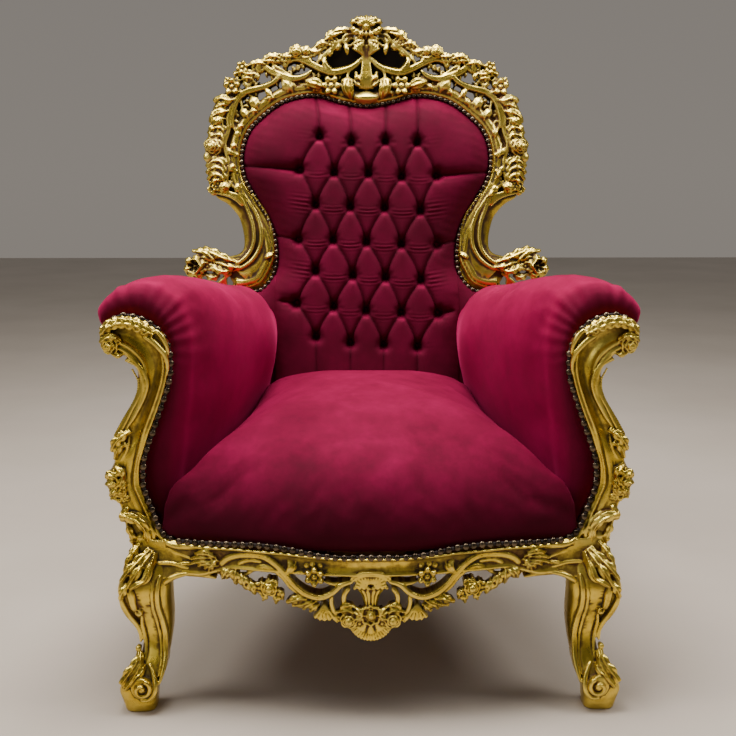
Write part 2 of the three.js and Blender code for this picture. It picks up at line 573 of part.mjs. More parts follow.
const group = new THREE.Group();
function piece(name, solid, look) {
  const mesh = new THREE.Mesh(geometryOf(solid), new THREE.MeshStandardMaterial(look));
  mesh.name = name;
  group.add(mesh);
}
piece('back_frame', back, GOLD);
piece('front_rail', railFront, GOLD);
piece('left_side_rail', railL, GOLD_PLAIN);
piece('right_side_rail', railR, GOLD_PLAIN);
piece('rear_rail', railRear, GOLD_PLAIN);
piece('left_front_leg', legL, GOLD);
piece('right_front_leg', legR, GOLD);
piece('left_rear_leg', rearL, GOLD_PLAIN);
piece('right_rear_leg', rearR, GOLD_PLAIN);
piece('left_arm_front', facingL, GOLD);
piece('right_arm_front', facingR, GOLD);
piece('left_arm_pad', padL, VELVET);
piece('right_arm_pad', padR, VELVET);
piece('seat_cushion', seat, VELVET);
piece('back_cushion', cushion, VELVET);
piece('back_panel', panel, VELVET);
piece('crest_backing', crestBacking(), BACKING);
group.position.set(0, DEPTH_SHIFT, 0);

export default group;
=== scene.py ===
import math

import bmesh
import bpy
import numpy as np
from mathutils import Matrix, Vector


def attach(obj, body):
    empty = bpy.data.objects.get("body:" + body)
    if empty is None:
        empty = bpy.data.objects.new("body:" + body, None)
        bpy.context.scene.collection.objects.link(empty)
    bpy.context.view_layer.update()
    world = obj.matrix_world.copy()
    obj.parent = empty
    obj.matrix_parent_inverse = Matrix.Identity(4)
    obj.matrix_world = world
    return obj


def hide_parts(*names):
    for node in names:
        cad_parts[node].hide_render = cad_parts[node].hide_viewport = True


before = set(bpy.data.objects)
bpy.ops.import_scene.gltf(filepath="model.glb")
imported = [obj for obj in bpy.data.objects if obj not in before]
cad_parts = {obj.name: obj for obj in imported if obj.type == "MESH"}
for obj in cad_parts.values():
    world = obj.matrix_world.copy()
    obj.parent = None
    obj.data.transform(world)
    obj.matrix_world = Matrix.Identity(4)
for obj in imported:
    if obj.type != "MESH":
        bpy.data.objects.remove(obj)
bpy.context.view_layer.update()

# ------------------------------------------------------------------ named sizes (mm in the chair's own frame)
DEPTH_SHIFT = -297.4
BACK_Y, BACK_Z, BACK_RAKE = 570.0, 650.0, 0.2
BACK_THICK = 26.0
RAIL_TOP, RAIL_BOTTOM, RAIL_THICK, RAIL_BOW = 290.0, 236.0, 34.0, 82.0
FRONT_HALF = 352.0
SEAT_TOP = 502.0
LEG_TOP = 299.0
OPENING = [(0, 1057), (55, 1066), (112, 1080), (179, 1068), (227, 1036), (258, 1003), (272, 960), (268, 905),
           (242, 858), (216, 815), (201, 775), (197, 735), (202, 690), (206, 600), (204, 480), (200, 292)]

# the eye point of the view, in the chair's frame (mm), and the direction it looks in
EYE = np.array([-23.6, -1734.8, 924.0])
PITCH, YAW, FOCAL = 0.188246, 0.0114633, 1049.9
rng = np.random.default_rng(7)


# ------------------------------------------------------------------ small maths
def back_y(z):
    return BACK_Y + BACK_RAKE * (z - BACK_Z)


def bow_y(x):
    return -RAIL_BOW * np.cos(np.minimum(1, np.abs(x) / 400) * np.pi / 2) ** 1.25 + 6


def smooth(a, b, x):
    t = np.clip((np.asarray(x, float) - a) / (b - a), 0, 1)
    return t * t * (3 - 2 * t)


def along(table, x):
    t = np.array(table, float)
    return np.interp(x, t[:, 0], t[:, 1])


def eased(table, x):
    """A smooth cubic through a short table of (key, value)."""
    t = np.array(table, float)
    xs, ys = t[:, 0], t[:, 1]
    m = np.gradient(ys, xs)
    x = np.clip(np.asarray(x, float), xs[0], xs[-1])
    i = np.clip(np.searchsorted(xs, x) - 1, 0, len(xs) - 2)
    h = xs[i + 1] - xs[i]
    s = (x - xs[i]) / h
    return ((2 * s ** 3 - 3 * s * s + 1) * ys[i] + (s ** 3 - 2 * s * s + s) * h * m[i]
            + (-2 * s ** 3 + 3 * s * s) * ys[i + 1] + (s ** 3 - s * s) * h * m[i + 1])


def spline(pts, n, closed=False):
    """n points evenly spaced along a centripetal Catmull-Rom curve through pts."""
    p = np.array(pts, float)
    if closed:
        p = np.vstack([p[-1], p, p[0], p[1]])
    else:
        p = np.vstack([2 * p[0] - p[1], p, 2 * p[-1] - p[-2]])
    out = []
    for k in range(len(p) - 3):
        q = p[k:k + 4]
        d = np.maximum(np.linalg.norm(np.diff(q, axis=0), axis=1) ** 0.5, 1e-6)
        t = np.concatenate([[0], np.cumsum(d)])
        u = np.linspace(t[1], t[2], 24, endpoint=False)[:, None]
        a1 = (t[1] - u) / (t[1] - t[0]) * q[0] + (u - t[0]) / (t[1] - t[0]) * q[1]
        a2 = (t[2] - u) / (t[2] - t[1]) * q[1] + (u - t[1]) / (t[2] - t[1]) * q[2]
        a3 = (t[3] - u) / (t[3] - t[2]) * q[2] + (u - t[2]) / (t[3] - t[2]) * q[3]
        b1 = (t[2] - u) / (t[2] - t[0]) * a1 + (u - t[0]) / (t[2] - t[0]) * a2
        b2 = (t[3] - u) / (t[3] - t[1]) * a2 + (u - t[1]) / (t[3] - t[1]) * a3
        out.append((t[2] - u) / (t[2] - t[1]) * b1 + (u - t[1]) / (t[2] - t[1]) * b2)
    out.append(p[-2][None])
    c = np.vstack(out)
    s = np.concatenate([[0], np.cumsum(np.linalg.norm(np.diff(c, axis=0), axis=1))])
    want = np.linspace(0, s[-1], n, endpoint=not closed)
    return np.stack([np.interp(want, s, c[:, k]) for k in range(c.shape[1])], axis=1)


def steps(values, n):
    return np.interp(np.linspace(0, 1, n), np.linspace(0, 1, len(values)), values)


# ------------------------------------------------------------------ reading a mark in the picture onto a surface of the chair
_f = np.array([math.sin(YAW) * math.cos(PITCH), math.cos(YAW) * math.cos(PITCH), -math.sin(PITCH)])
_r = np.array([math.cos(YAW), -math.sin(YAW), 0.0])
_u = np.cross(_r, _f)


def ray(px, py):
    return _f + (px - 368) / FOCAL * _r - (py - 368) / FOCAL * _u


def on_back(px, py, f=12.0):
    """Picture position to (x, z, f) on the raked plane of the back, f mm in front of it."""
    d = ray(px, py)
    n = np.array([0, 1, -BACK_RAKE])
    t = (BACK_Y - BACK_RAKE * BACK_Z - f - n @ EYE) / (n @ d)
    p = EYE + t * d
    return (p[0], p[2], f)


def on_upright(px, py, f=6.0, y=0.0):
    """Picture position to (x, z, f) on an upright plane facing the front."""
    d = ray(px, py)
    t = (y - f - EYE[1]) / d[1]
    p = EYE + t * d
    return (p[0], p[2], f)


def on_bow(px, py, f=12.0):
    """Picture position to (x, z, f) in front of the bowed rail."""
    y = -60.0
    for _ in range(6):
        x, z, _f0 = on_upright(px, py, f, y)
        y = float(bow_y(x))
    return (x, z, f)


def ruler(x0, y0, s, place):
    """Marks read on an enlarged part of the picture, as (x, y, forward)."""
    return lambda *marks: [place(x0 + m[0] / s, y0 + m[1] / s, m[2] if len(m) > 2 else 12.0) for m in marks]


# ------------------------------------------------------------------ carving vocabulary, in flat coordinates (x, z, forward)
class Carving:
    def __init__(self):
        self.v, self.f, self.n = [], [], 0

    def skin(self, rings):
        """A closed skin over rings (T, m, 3)."""
        t, m, _ = rings.shape
        a = (np.arange(t - 1)[:, None] * m + np.arange(m)[None]).ravel()
        b = (np.arange(t - 1)[:, None] * m + (np.arange(m)[None] + 1) % m).ravel()
        quads = np.stack([a, b, b + m, a + m], 1) + self.n
        c0, c1 = rings[0].mean(0), rings[-1].mean(0)
        self.v.append(np.vstack([rings.reshape(-1, 3), c0, c1]))
        self.f.extend(quads.tolist())
        i0, i1 = self.n + t * m, self.n + t * m + 1
        for j in range(m):
            k = (j + 1) % m
            self.f.append([self.n + k, self.n + j, i0])
            self.f.append([self.n + (t - 1) * m + j, self.n + (t - 1) * m + k, i1])
        self.n += t * m + 2

    def mirror(self):
        v = np.vstack(self.v)
        w = v.copy()
        w[:, 0] *= -1
        n = self.n
        self.v.append(w)
        self.f.extend([[i + n for i in reversed(f)] for f in self.f])
        self.n *= 2

    def add(self, other, flip=False):
        v = np.vstack(other.v)
        if flip:
            v = v * np.array([-1, 1, 1])
        self.v.append(v)
        self.f.extend([[i + self.n for i in (reversed(f) if flip else f)] for f in other.f])
        self.n += len(v)


FWD = np.array([0.0, 0.0, 1.0])


def frames(p):
    t = np.gradient(p, axis=0)
    t /= np.maximum(np.linalg.norm(t, axis=1, keepdims=True), 1e-9)
    s = np.cross(t, FWD)
    s /= np.maximum(np.linalg.norm(s, axis=1, keepdims=True), 1e-9)
    return t, s, np.cross(s, t)


def rod(c, path, r, deep=1.0, seg=0, sides=14, flutes=0, cut=0.25, phase=0.0, tip=True):
    """A tapering rod along path; r is its half width along it; flutes cut grooves along it."""
    if not seg:
        seg = max(8, int(sum(math.dist(a, b) for a, b in zip(path, path[1:])) / 3.0))
    p = spline(path, seg)
    _, s, u = frames(p)
    w = steps(r, seg)
    if tip:
        e = np.linspace(0, 1, seg)
        w = w * np.minimum(1, 0.35 + np.sqrt(np.minimum(e, 1 - e) * seg / 2.2))
    a = np.linspace(0, 2 * np.pi, sides, endpoint=False)
    if flutes:
        sides = max(sides, flutes * 6)
        a = np.linspace(0, 2 * np.pi, sides, endpoint=False)
    k = 1 - (cut * (0.5 - 0.5 * np.cos(flutes * (a + phase))) if flutes else 0 * a)
    rings = (p[:, None] + s[:, None] * (w[:, None] * np.cos(a) * k)[..., None]
             + u[:, None] * (w[:, None] * deep * np.sin(a) * k)[..., None])
    c.skin(rings)


BULK = [1.0]        # how much fuller than drawn the ornament is cut
SOLE = [None]       # the depth to which leaves and flowers are sawn through behind


def leaf(c, path, w, lobes=5, lobe=0.34, h=6.0, thick=4.0, shift=0.28, rib=2.2, cup=0.0, side=(1, 1), seg=0, vein_deep=3.4):
    """An acanthus leaf along path: lobed edges, veins slanting back to a raised rib."""
    w = [k * BULK[0] for k in w]
    if not seg:
        seg = max(14, int(sum(math.dist(a, b) for a, b in zip(path, path[1:])) / 1.8))
    p = spline(path, seg)
    _, s, u = frames(p)
    t = np.linspace(0, 1, seg)
    half = steps(w, seg)
    top = np.linspace(-1, 1, 15)
    ph = np.pi * lobes * (t[:, None] - shift / max(lobes, 1) * np.abs(top)[None] * 1.6)
    vein = np.abs(np.sin(ph)) ** 0.55
    edge = np.abs(np.sin(np.pi * lobes * (t - shift / max(lobes, 1) * 1.6))) ** 0.7
    out = half * (1 - lobe + lobe * edge)
    sd = np.where(top < 0, side[0], side[1])[None]
    lift = steps([0.7, 1, 1, 0.9, 0.5], seg)[:, None]
    crown = h * lift * (0.35 + 0.65 * np.cos(top[None] * np.pi / 2 * 0.92) ** 0.8)
    deep = np.minimum(vein_deep, 0.34 * half)[:, None]
    crown = crown - deep * (1 - vein) * smooth(0.08, 0.45, np.abs(top))[None] + cup * np.abs(top)[None] ** 2 * h
    crown += rib * np.exp(-(top[None] / 0.14) ** 2) - 0.5 * deep * np.exp(-((np.abs(top)[None] - 0.27) / 0.09) ** 2)
    x = out[:, None] * top[None] * sd
    front = np.stack([x, crown], -1)
    under = np.stack([out[:, None] * np.linspace(0.86, -0.86, 7)[None] * np.where(np.linspace(0.86, -0.86, 7) < 0, side[0], side[1])[None],
                      np.full((seg, 7), -thick)], -1)
    ring = np.concatenate([front, under], 1)
    rings = p[:, None] + s[:, None] * ring[..., :1] + u[:, None] * ring[..., 1:]
    if SOLE[0] is not None:
        rings[:, 15:, 2] = np.minimum(rings[:, 15:, 2], SOLE[0])
    c.skin(rings)


def spray(c, path, reach, n=6, sides=(1, -1), lean=0.85, wide=0.36, rise=4.5, stem=2.6, thick=12, start=0.0):
    """A run of single leaflets springing from a stem, as on an acanthus frond."""
    p = spline(path, 80)
    flat = p.copy()
    flat[:, 2] = 0
    t, s_, _ = frames(flat)
    L = steps(reach, n)
    for i in range(n):
        k = int((start + (1 - start) * (i + 0.5) / n) * 79)
        for sd in sides:
            d = math.cos(lean) * t[k] + sd * math.sin(lean) * s_[k]
            b = p[k]
            m = b + d * L[i] * 0.5 - t[k] * L[i] * 0.10 + np.array([0, 0, rise])
            e = b + d * L[i] + np.array([0, 0, -1.0])
            w = L[i] * wide
            leaf(c, [tuple(b + np.array([0, 0, 0.5])), tuple(m), tuple(e)], [w * 0.55, w, w * 0.85, w * 0.22], lobes=1, lobe=0.08,
                 h=max(2.5, L[i] * 0.24), thick=thick, rib=1.2, vein_deep=1.5)
    if stem:
        rod(c, [tuple(q) for q in p[::8] + np.array([0, 0, 1.5])], [stem * 0.6, stem, stem, stem * 0.6], sides=8)


def relief(c, x, z, f, radius_at, height_at, back=8.0, nr=14, na=48, tilt=(0.0, 0.0)):
    """A round boss: radius_at(angle) is its edge and height_at(r, angle) its face; tilt leans it (dx, dz per mm forward)."""
    a = np.linspace(0, 2 * np.pi, na, endpoint=False)
    edge = radius_at(a) * BULK[0]
    if SOLE[0] is not None:
        back = max(back, f - SOLE[0])
    rows = []
    for rr, hh in [(0.80, -back), (0.97, -back * 0.3)]:
        rows.append(np.stack([x + edge * rr * np.cos(a), z + edge * rr * np.sin(a), np.full(na, f + hh)], -1))
    for k in np.linspace(1, 0.02, nr):
        h = height_at(k, a)
        r = edge * k
        rows.append(np.stack([x + r * np.cos(a), z + r * np.sin(a), f + h], -1))
    rings = np.array(rows)
    if tilt != (0.0, 0.0):
        d = rings[..., 2] - f
        tx, tz = tilt
        dx, dz = rings[..., 0] - x, rings[..., 1] - z
        rings[..., 0] += tx * d
        rings[..., 1] += tz * d
        rings[..., 2] -= tx * dx + tz * dz
    c.skin(rings)


def rose(c, x, z, f, r, turn=0.0, layers=(1.0, 0.70, 0.42), back=8.0, high=0.62, tilt=(0.0, 0.0), petals=5):
    """A cabbage rose: rings of cupped petals stepping up to a bud."""
    def edge_of(k, a):
        return layers[k] * (1 - 0.15 * (1 - np.abs(np.cos(petals / 2 * (a - turn - k * np.pi / petals))) ** 0.6))

    def height(k, a):
        rad = k * edge_of(0, a)
        h = np.zeros_like(a)
        for i in range(len(layers)):
            outer = edge_of(i, a)
            inner = edge_of(i + 1, a) if i + 1 < len(layers) else 0 * a
            inside = (rad <= outer + 1e-6)
            t = np.clip((rad - inner) / np.maximum(outer - inner, 1e-6), 0, 1)
            base = high * r * (0.12 + 0.44 * i)
            step = base + high * r * 0.42 * t ** 1.4 * (1 - 0.5 * smooth(0.86, 1.0, t))
            h = np.where(inside, step, h)
        if layers:
            core = layers[-1] * 0.42
            h = np.where(rad < core, high * r * (0.35 + 0.44 * (len(layers) - 1) + 0.25 * np.cos(rad / core * np.pi / 2)), h)
        return h
    relief(c, x, z, f, lambda a: r * edge_of(0, a), height, back=back, nr=22, na=60, tilt=tilt)


def daisy(c, x, z, f, r, petals=5, turn=0.0, back=7.0, high=0.5, tilt=(0.0, 0.0), notch=0.4):
    """An open flower with rounded petals and a domed eye."""
    def edge(a):
        return r * (1 - notch + notch * np.abs(np.cos(petals / 2 * (a - turn))) ** 0.7)

    def height(k, a):
        p = np.abs(np.cos(petals / 2 * (a - turn))) ** 0.8
        h = high * r * (0.35 + 0.65 * p) * (0.45 + 0.75 * smooth(0.2, 0.75, k) - 0.5 * smooth(0.8, 1.0, k))
        return np.where(k < 0.30, high * r * (0.55 + 0.55 * np.cos(k / 0.30 * np.pi / 2)), h)
    relief(c, x, z, f, edge, height, back=back, nr=16, na=max(48, petals * 10), tilt=tilt)


def ball(c, x, z, f, r, back=6.0):
    relief(c, x, z, f, lambda a: r + 0 * a, lambda k, a: r * np.sqrt(np.maximum(0, 1 - (k * 0.98) ** 2)) + 0 * a, back=back, nr=8, na=20)


def bud(c, path, r, flutes=5):
    """A closed bud or tulip along path."""
    rod(c, path, [r * 0.35, r * 0.8, r, r * 0.92, r * 0.62, r * 0.2], deep=0.95, sides=30, flutes=flutes, cut=0.3, seg=20)


def fan(c, x, z, f, r, a0, a1, flutes=9, high=6.0, inner=0.25, back=7.0, curl=0.0):
    """A fluted shell opening from a0 to a1 (radians, from +x towards +z)."""
    n = flutes * 8
    a = np.linspace(a0, a1, n)
    wave = np.abs(np.sin(np.pi * flutes * (a - a0) / (a1 - a0))) ** 0.7
    rows = []
    for k in np.linspace(inner, 1, 12):
        rr = r * k * (1 + 0.08 * wave * smooth(0.75, 1, k))
        hh = high * (0.35 + 0.9 * np.sin(min(1, k) * np.pi * 0.62)) * (0.45 + 0.55 * wave) + curl * smooth(0.7, 1, k)
        rows.append(np.stack([x + rr * np.cos(a), z + rr * np.sin(a), f + hh + 0 * a], -1))
    top = np.array(rows)                                  # (12, n, 3)
    low = top.copy()
    low[..., 2] = f - back
    rings = np.concatenate([top, low[::-1]], 0).transpose(1, 0, 2)
    c.skin(rings)


def volute(c, x, z, f, r, start, turns, way, w0, w1, rise=6.0, deep=1.0, lead=(), flutes=0):
    """A spiral from radius r at angle `start`, winding inwards; `lead` is a path that runs into it."""
    n = int(26 * turns) + 8
    t = np.linspace(0, 1, n)
    a = start + way * 2 * np.pi * turns * t
    rr = r * (1 - t) ** 0.85 + 0.6
    sp = np.stack([x + rr * np.cos(a), z + rr * np.sin(a), f + rise * t], -1)
    path = [tuple(q) for q in lead] + [tuple(q) for q in sp[::2]]
    k = len(lead)
    total = len(path)
    radii = [w0[min(len(w0) - 1, int(i * len(w0) / max(1, k)))] if i < k else w1[0] + (w1[1] - w1[0]) * (i - k) / max(1, total - k - 1) for i in range(total)]
    rod(c, path, radii, deep=deep, sides=12, flutes=flutes, cut=0.2)
    ball(c, x, z, f + rise * 0.6, w1[1] * 1.5, back=rise)


def slab(c, mid, half, front, back, round_=0.35, seg=80):
    """A broad flat band along mid with softened edges."""
    p = spline(mid, seg)
    _, s, u = frames(p)
    w = steps(half, seg)[:, None]
    fr = steps(front, seg)[:, None] if hasattr(front, "__len__") else np.full((seg, 1), float(front))
    bk = steps(back, seg)[:, None] if hasattr(back, "__len__") else np.full((seg, 1), float(back))
    x = np.array([-1, -0.97, -0.8, -0.4, 0, 0.4, 0.8, 0.97, 1, 1, 0.95, 0.4, -0.4, -0.95, -1])
    k = np.array([-0.2, 0.6, 0.93, 1, 1, 1, 0.93, 0.6, -0.2, -0.7, -1, -1, -1, -1, -0.7])
    y = np.where(k[None] > 0, k[None] * fr, -k[None] * -bk)
    rings = p[:, None] + s[:, None] * (w * x[None])[..., None] + FWD * y[..., None]
    c.skin(rings)


# ------------------------------------------------------------------ meshes
def to_row(v):
    """Chair frame in mm to the row frame in metres."""
    return (np.asarray(v) + np.array([0, DEPTH_SHIFT, 0])) / 1000.0


def mesh_object(name, verts, faces, smooth_shade=True):
    me = bpy.data.meshes.new(name)
    me.from_pydata([tuple(p) for p in verts.tolist()] if hasattr(verts, "tolist") else verts, [], faces)
    me.update()
    if smooth_shade:
        me.polygons.foreach_set("use_smooth", np.ones(len(me.polygons), bool))
    ob = bpy.data.objects.new(name, me)
    bpy.context.scene.collection.objects.link(ob)
    return ob


def baked(ob):
    """Applies the object's modifiers."""
    dg = bpy.context.evaluated_depsgraph_get()
    dg.update()
    new = bpy.data.meshes.new_from_object(ob.evaluated_get(dg))
    old = ob.data
    ob.modifiers.clear()
    ob.data = new
    bpy.data.meshes.remove(old)
    new.polygons.foreach_set("use_smooth", np.ones(len(new.polygons), bool))
    return ob


def outward(ob):
    """Makes every face look outwards."""
    bm = bmesh.new()
    bm.from_mesh(ob.data)
    bmesh.ops.recalc_face_normals(bm, faces=bm.faces)
    bm.to_mesh(ob.data)
    bm.free()
    return ob


def coords(me):
    co = np.empty(len(me.vertices) * 3, np.float32)
    me.vertices.foreach_get("co", co)
    return co.reshape(-1, 3).astype(float)


def edge_pairs(me):
    e = np.empty(len(me.edges) * 2, np.int32)
    me.edges.foreach_get("vertices", e)
    return e.reshape(-1, 2)


def relax(p, e, times, keep=0.5):
    n = len(p)
    deg = np.bincount(e.ravel(), minlength=n).astype(float)[:, None]
    deg[deg == 0] = 1
    for _ in range(times):
        s = np.zeros_like(p)
        for k in range(3):
            s[:, k] = np.bincount(e[:, 0], p[e[:, 1], k], n) + np.bincount(e[:, 1], p[e[:, 0], k], n)
        p = p * keep + (1 - keep) * s / deg
    return p


def hollows(ob, fine=4, broad=22):
    """Writes how hollow (+) or proud (-) each vertex lies, at a fine and a broad scale, and how closed in it is, for
    the grime and painted shade of the gilding.
    """
    me = ob.data
    p = coords(me)
    e = edge_pairs(me)
    nrm = np.empty(len(me.vertices) * 3, np.float32)
    me.vertex_normals.foreach_get("vector", nrm)
    nrm = nrm.reshape(-1, 3)
    a = relax(p, e, fine)
    b = relax(a, e, broad)
    for name, q, scale in (("hollow_fine", a, 900.0), ("hollow_broad", b, 260.0)):
        d = np.einsum("ij,ij->i", q - p, nrm) * scale
        at = me.attributes.new(name, "FLOAT", "POINT")
        at.data.foreach_set("value", np.clip(d * 0.5 + 0.5, 0, 1).astype(np.float32))
    at = me.attributes.new("shelter", "FLOAT", "POINT")
    at.data.foreach_set("value", shelter(me, p, nrm).astype(np.float32))


def shelter(me, p, nrm, cell=0.003, ahead=0.010, radius=3):
    """How closed in each vertex lies (0 open, 1 shut in): the surface found round a point a little way ahead of it. The
    gilding is darkened by it as painted shade, like ambient occlusion.
    """
    area = np.empty(len(me.polygons), np.float32)
    me.polygons.foreach_get("area", area)
    mid = np.empty(len(me.polygons) * 3, np.float32)
    me.polygons.foreach_get("center", mid)
    mid = mid.reshape(-1, 3)
    low = p.min(0) - cell * (radius * 3 + 5)
    n = np.ceil((p.max(0) + cell * (radius * 3 + 5) - low) / cell).astype(int) + 1
    q = ((mid - low) / cell).astype(int)
    g = np.bincount((q[:, 0] * n[1] + q[:, 1]) * n[2] + q[:, 2], area, n[0] * n[1] * n[2]).reshape(n).astype(np.float32)
    w = 2 * radius + 1
    for _ in range(2):
        for ax in range(3):
            s_ = np.cumsum(g, axis=ax)
            lead = np.take(s_, np.minimum(np.arange(n[ax]) + radius, n[ax] - 1), axis=ax)
            lag = np.take(s_, np.maximum(np.arange(n[ax]) - radius - 1, 0), axis=ax)
            g = (lead - lag) / w
    r = ((p + nrm * ahead - low) / cell).astype(int)
    v = g[r[:, 0], r[:, 1], r[:, 2]] / (cell * cell)
    flat = 0.070          # what an open flat surface gives
    return np.clip((v / flat - 0.6) / 2.6, 0, 1)


def carve(name, c, bend, voxel, most, clip=None):
    """Fuses a carving into one solid: bent into place, remeshed, thinned to `most` triangles."""
    v = np.vstack(c.v)
    v = bend(v)
    if clip is not None:
        v = clip(v)
    ob = mesh_object(name, to_row(v), c.f)
    m = ob.modifiers.new("fuse", "REMESH")
    m.mode, m.voxel_size, m.adaptivity = "VOXEL", (voxel * 1.0) / 1000.0, 0.0
    baked(ob)
    p = coords(ob.data)
    ob.data.vertices.foreach_set("co", relax(p, edge_pairs(ob.data), 1, 0.5).astype(np.float32).ravel())
    ob.data.update()
    tris = 2 * len(ob.data.polygons)
    if tris > most:
        d = ob.modifiers.new("thin", "DECIMATE")
        d.ratio = most / tris
        baked(ob)
    hollows(ob)
    return ob


def bend_back(v):
    return np.stack([v[:, 0], back_y(v[:, 1]) - v[:, 2], v[:, 1]], -1)


def bend_bow(v):
    return np.stack([v[:, 0], bow_y(v[:, 0]) - v[:, 2], v[:, 1]], -1)


def bend_flat(v):
    return np.stack([v[:, 0], -v[:, 2], v[:, 1]], -1)


def opening(offset, n=0):
    pts = np.array(OPENING, float)
    out = []
    for i, q in enumerate(pts):
        a, b = pts[max(0, i - 1)], pts[min(len(pts) - 1, i + 1)]
        nrm = np.array([-(b[1] - a[1]), b[0] - a[0]])
        nrm /= np.linalg.norm(nrm)
        out.append((0, q[1] + offset) if i == 0 else tuple(q + nrm * offset))
    left = [(-x, z) for x, z in reversed(out[1:])]
    full = left + out
    return spline(full, n) if n else full


def ridge(c, path, r, deep=1.0, back=-22.0, seg=0, groove=0.0, sharp=0.8, taper=True):
    """A carved branch: rounded on its face, sawn straight through behind to `back`."""
    if not seg:
        seg = max(8, int(sum(math.dist(a, b) for a, b in zip(path, path[1:])) / 2.4))
    p = spline(path, seg)
    flat = p.copy()
    flat[:, 2] = 0
    _, s, _ = frames(flat)
    w = steps(r, seg)
    if taper:
        e = np.arange(seg)
        w = w * np.minimum(1, 0.45 + 0.55 * np.sqrt(np.minimum(e, seg - 1 - e) / 2.5))
    a = np.linspace(0, np.pi, 13)
    x = np.cos(a)
    y = np.sin(a) ** sharp - groove * np.exp(-(x / 0.22) ** 2)
    top = np.stack([w[:, None] * x[None], p[:, 2:3] - w[:, None] * 0.3 + w[:, None] * deep * y[None]], -1)
    low = np.stack([w[:, None] * np.array([-0.9, -0.75, 0.75, 0.9])[None],
                    np.repeat(np.array([[back * 0.5, back, back, back * 0.5]]), seg, 0)], -1)
    ring = np.concatenate([top, low], 1)
    out = p[:, None].repeat(ring.shape[1], 1)
    out = out + s[:, None] * ring[..., :1]
    out[..., 2] = ring[..., 1]
    c.skin(out)


def track(pts, n):
    """n points through pts, evenly spaced by their order and not by length."""
    p = np.array(pts, float)
    t = np.linspace(0, len(p) - 1, n)
    return np.stack([eased(list(zip(range(len(p)), p[:, k])), t) for k in range(p.shape[1])], -1)


def loft(c, a, b, face, back=-20.0, n=60, across=25, under=0.06):
    """A field between two edges: face(t, s) is its height, t along and s from edge a to edge b."""
    pa, pb = track(a, n), track(b, n)
    s = np.linspace(0, 1, across)
    t = np.linspace(0, 1, n)
    tt, ss = np.meshgrid(t, s, indexing="ij")
    h = face(tt, ss)
    top = pa[:, None, :2] * (1 - s[None, :, None]) + pb[:, None, :2] * s[None, :, None]
    low_s = np.array([1 - under, 0.5, under])
    low = pa[:, None, :2] * (1 - low_s[None, :, None]) + pb[:, None, :2] * low_s[None, :, None]
    top = np.concatenate([top, h[..., None]], -1)
    low = np.concatenate([low, np.full(low.shape[:2] + (1,), back)], -1)
    c.skin(np.concatenate([top, low], 1))


def moulding(c, path, profile, back=-20.0, n=260):
    """A moulding along path; profile is a list of (offset, height) across it."""
    p = spline(path, n)
    flat = np.hstack([p[:, :2], np.zeros((n, 1))])
    _, s, _ = frames(flat)
    q = np.array(profile, float)
    k = np.linspace(0, 1, 23)
    u = np.linspace(0, 1, len(q))
    off, h = np.interp(k, u, q[:, 0]), eased(list(zip(u, q[:, 1])), k)
    f = p[:, 2] if p.shape[1] > 2 else np.zeros(n)
    top = flat[:, None] + s[:, None] * off[None, :, None]
    top[..., 2] = f[:, None] + h[None]
    m = off[-1] * 0.5 + off[0] * 0.5
    low = flat[:, None] + s[:, None] * np.array([off[-1], m, off[0]])[None, :, None]
    low[..., 2] = back
    c.skin(np.concatenate([top, low], 1))


def whorl(c, x, z, f, r, turns=1.4, way=1, start=0.0, w=0.32, rise=5.0, back=-14.0):
    """A scroll end: a solid boss with a spiral ridge wound on it."""
    relief(c, x, z, f, lambda a: r + 0 * a, lambda k, a: r * 0.15 * (1 - k * k) + 0 * a, back=f - back, nr=6, na=28)
    n = int(22 * turns) + 6
    t = np.linspace(0, 1, n)
    a = start + way * 2 * np.pi * turns * t
    rr = r * (0.82 * (1 - t) ** 0.8) + 0.4
    rod(c, [tuple(q) for q in np.stack([x + rr * np.cos(a), z + rr * np.sin(a), f + rise * (0.25 + 0.75 * t)], -1)[::2]],
        [r * w, r * w * 0.8, r * w * 0.7], deep=1.1, sides=10)
    ball(c, x, z, f + rise * 0.5, r * w * 1.1, back=4)


def tongues(c, base, tips, w, h=4.0, thick=10.0, lobes=1, rib=1.6):
    """Several simple leaves springing from one place."""
    for t in tips:
        mid = tuple((np.array(base) + np.array(t)) / 2 + np.array([0, 0, 2.0]))
        leaf(c, [base, mid, t], [w * 0.55, w, w * 0.75, w * 0.18], lobes=lobes, lobe=0.12, h=h, thick=thick, rib=rib)


def cup(c, x, z, f, r, tilt=(0.0, 0.0), petals=6, depth=0.9, back=10.0):
    """The open mouth of a blown rose: a rim of petals round a deep hollow with a bud in it."""
    def edge(a):
        return r * (1 - 0.07 + 0.07 * np.cos(petals * a))

    def height(k, a):
        rim = r * 0.55 * np.exp(-((k - 0.84) / 0.14) ** 2)
        floor = -r * depth * smooth(0.80, 0.45, k)
        core = r * (0.50 + 0.14 * np.cos(3 * a)) * np.exp(-(k / 0.40) ** 2)
        return rim + floor + core
    relief(c, x, z, f + r * 0.4, edge, height, back=r * depth + back, nr=18, na=48, tilt=tilt)


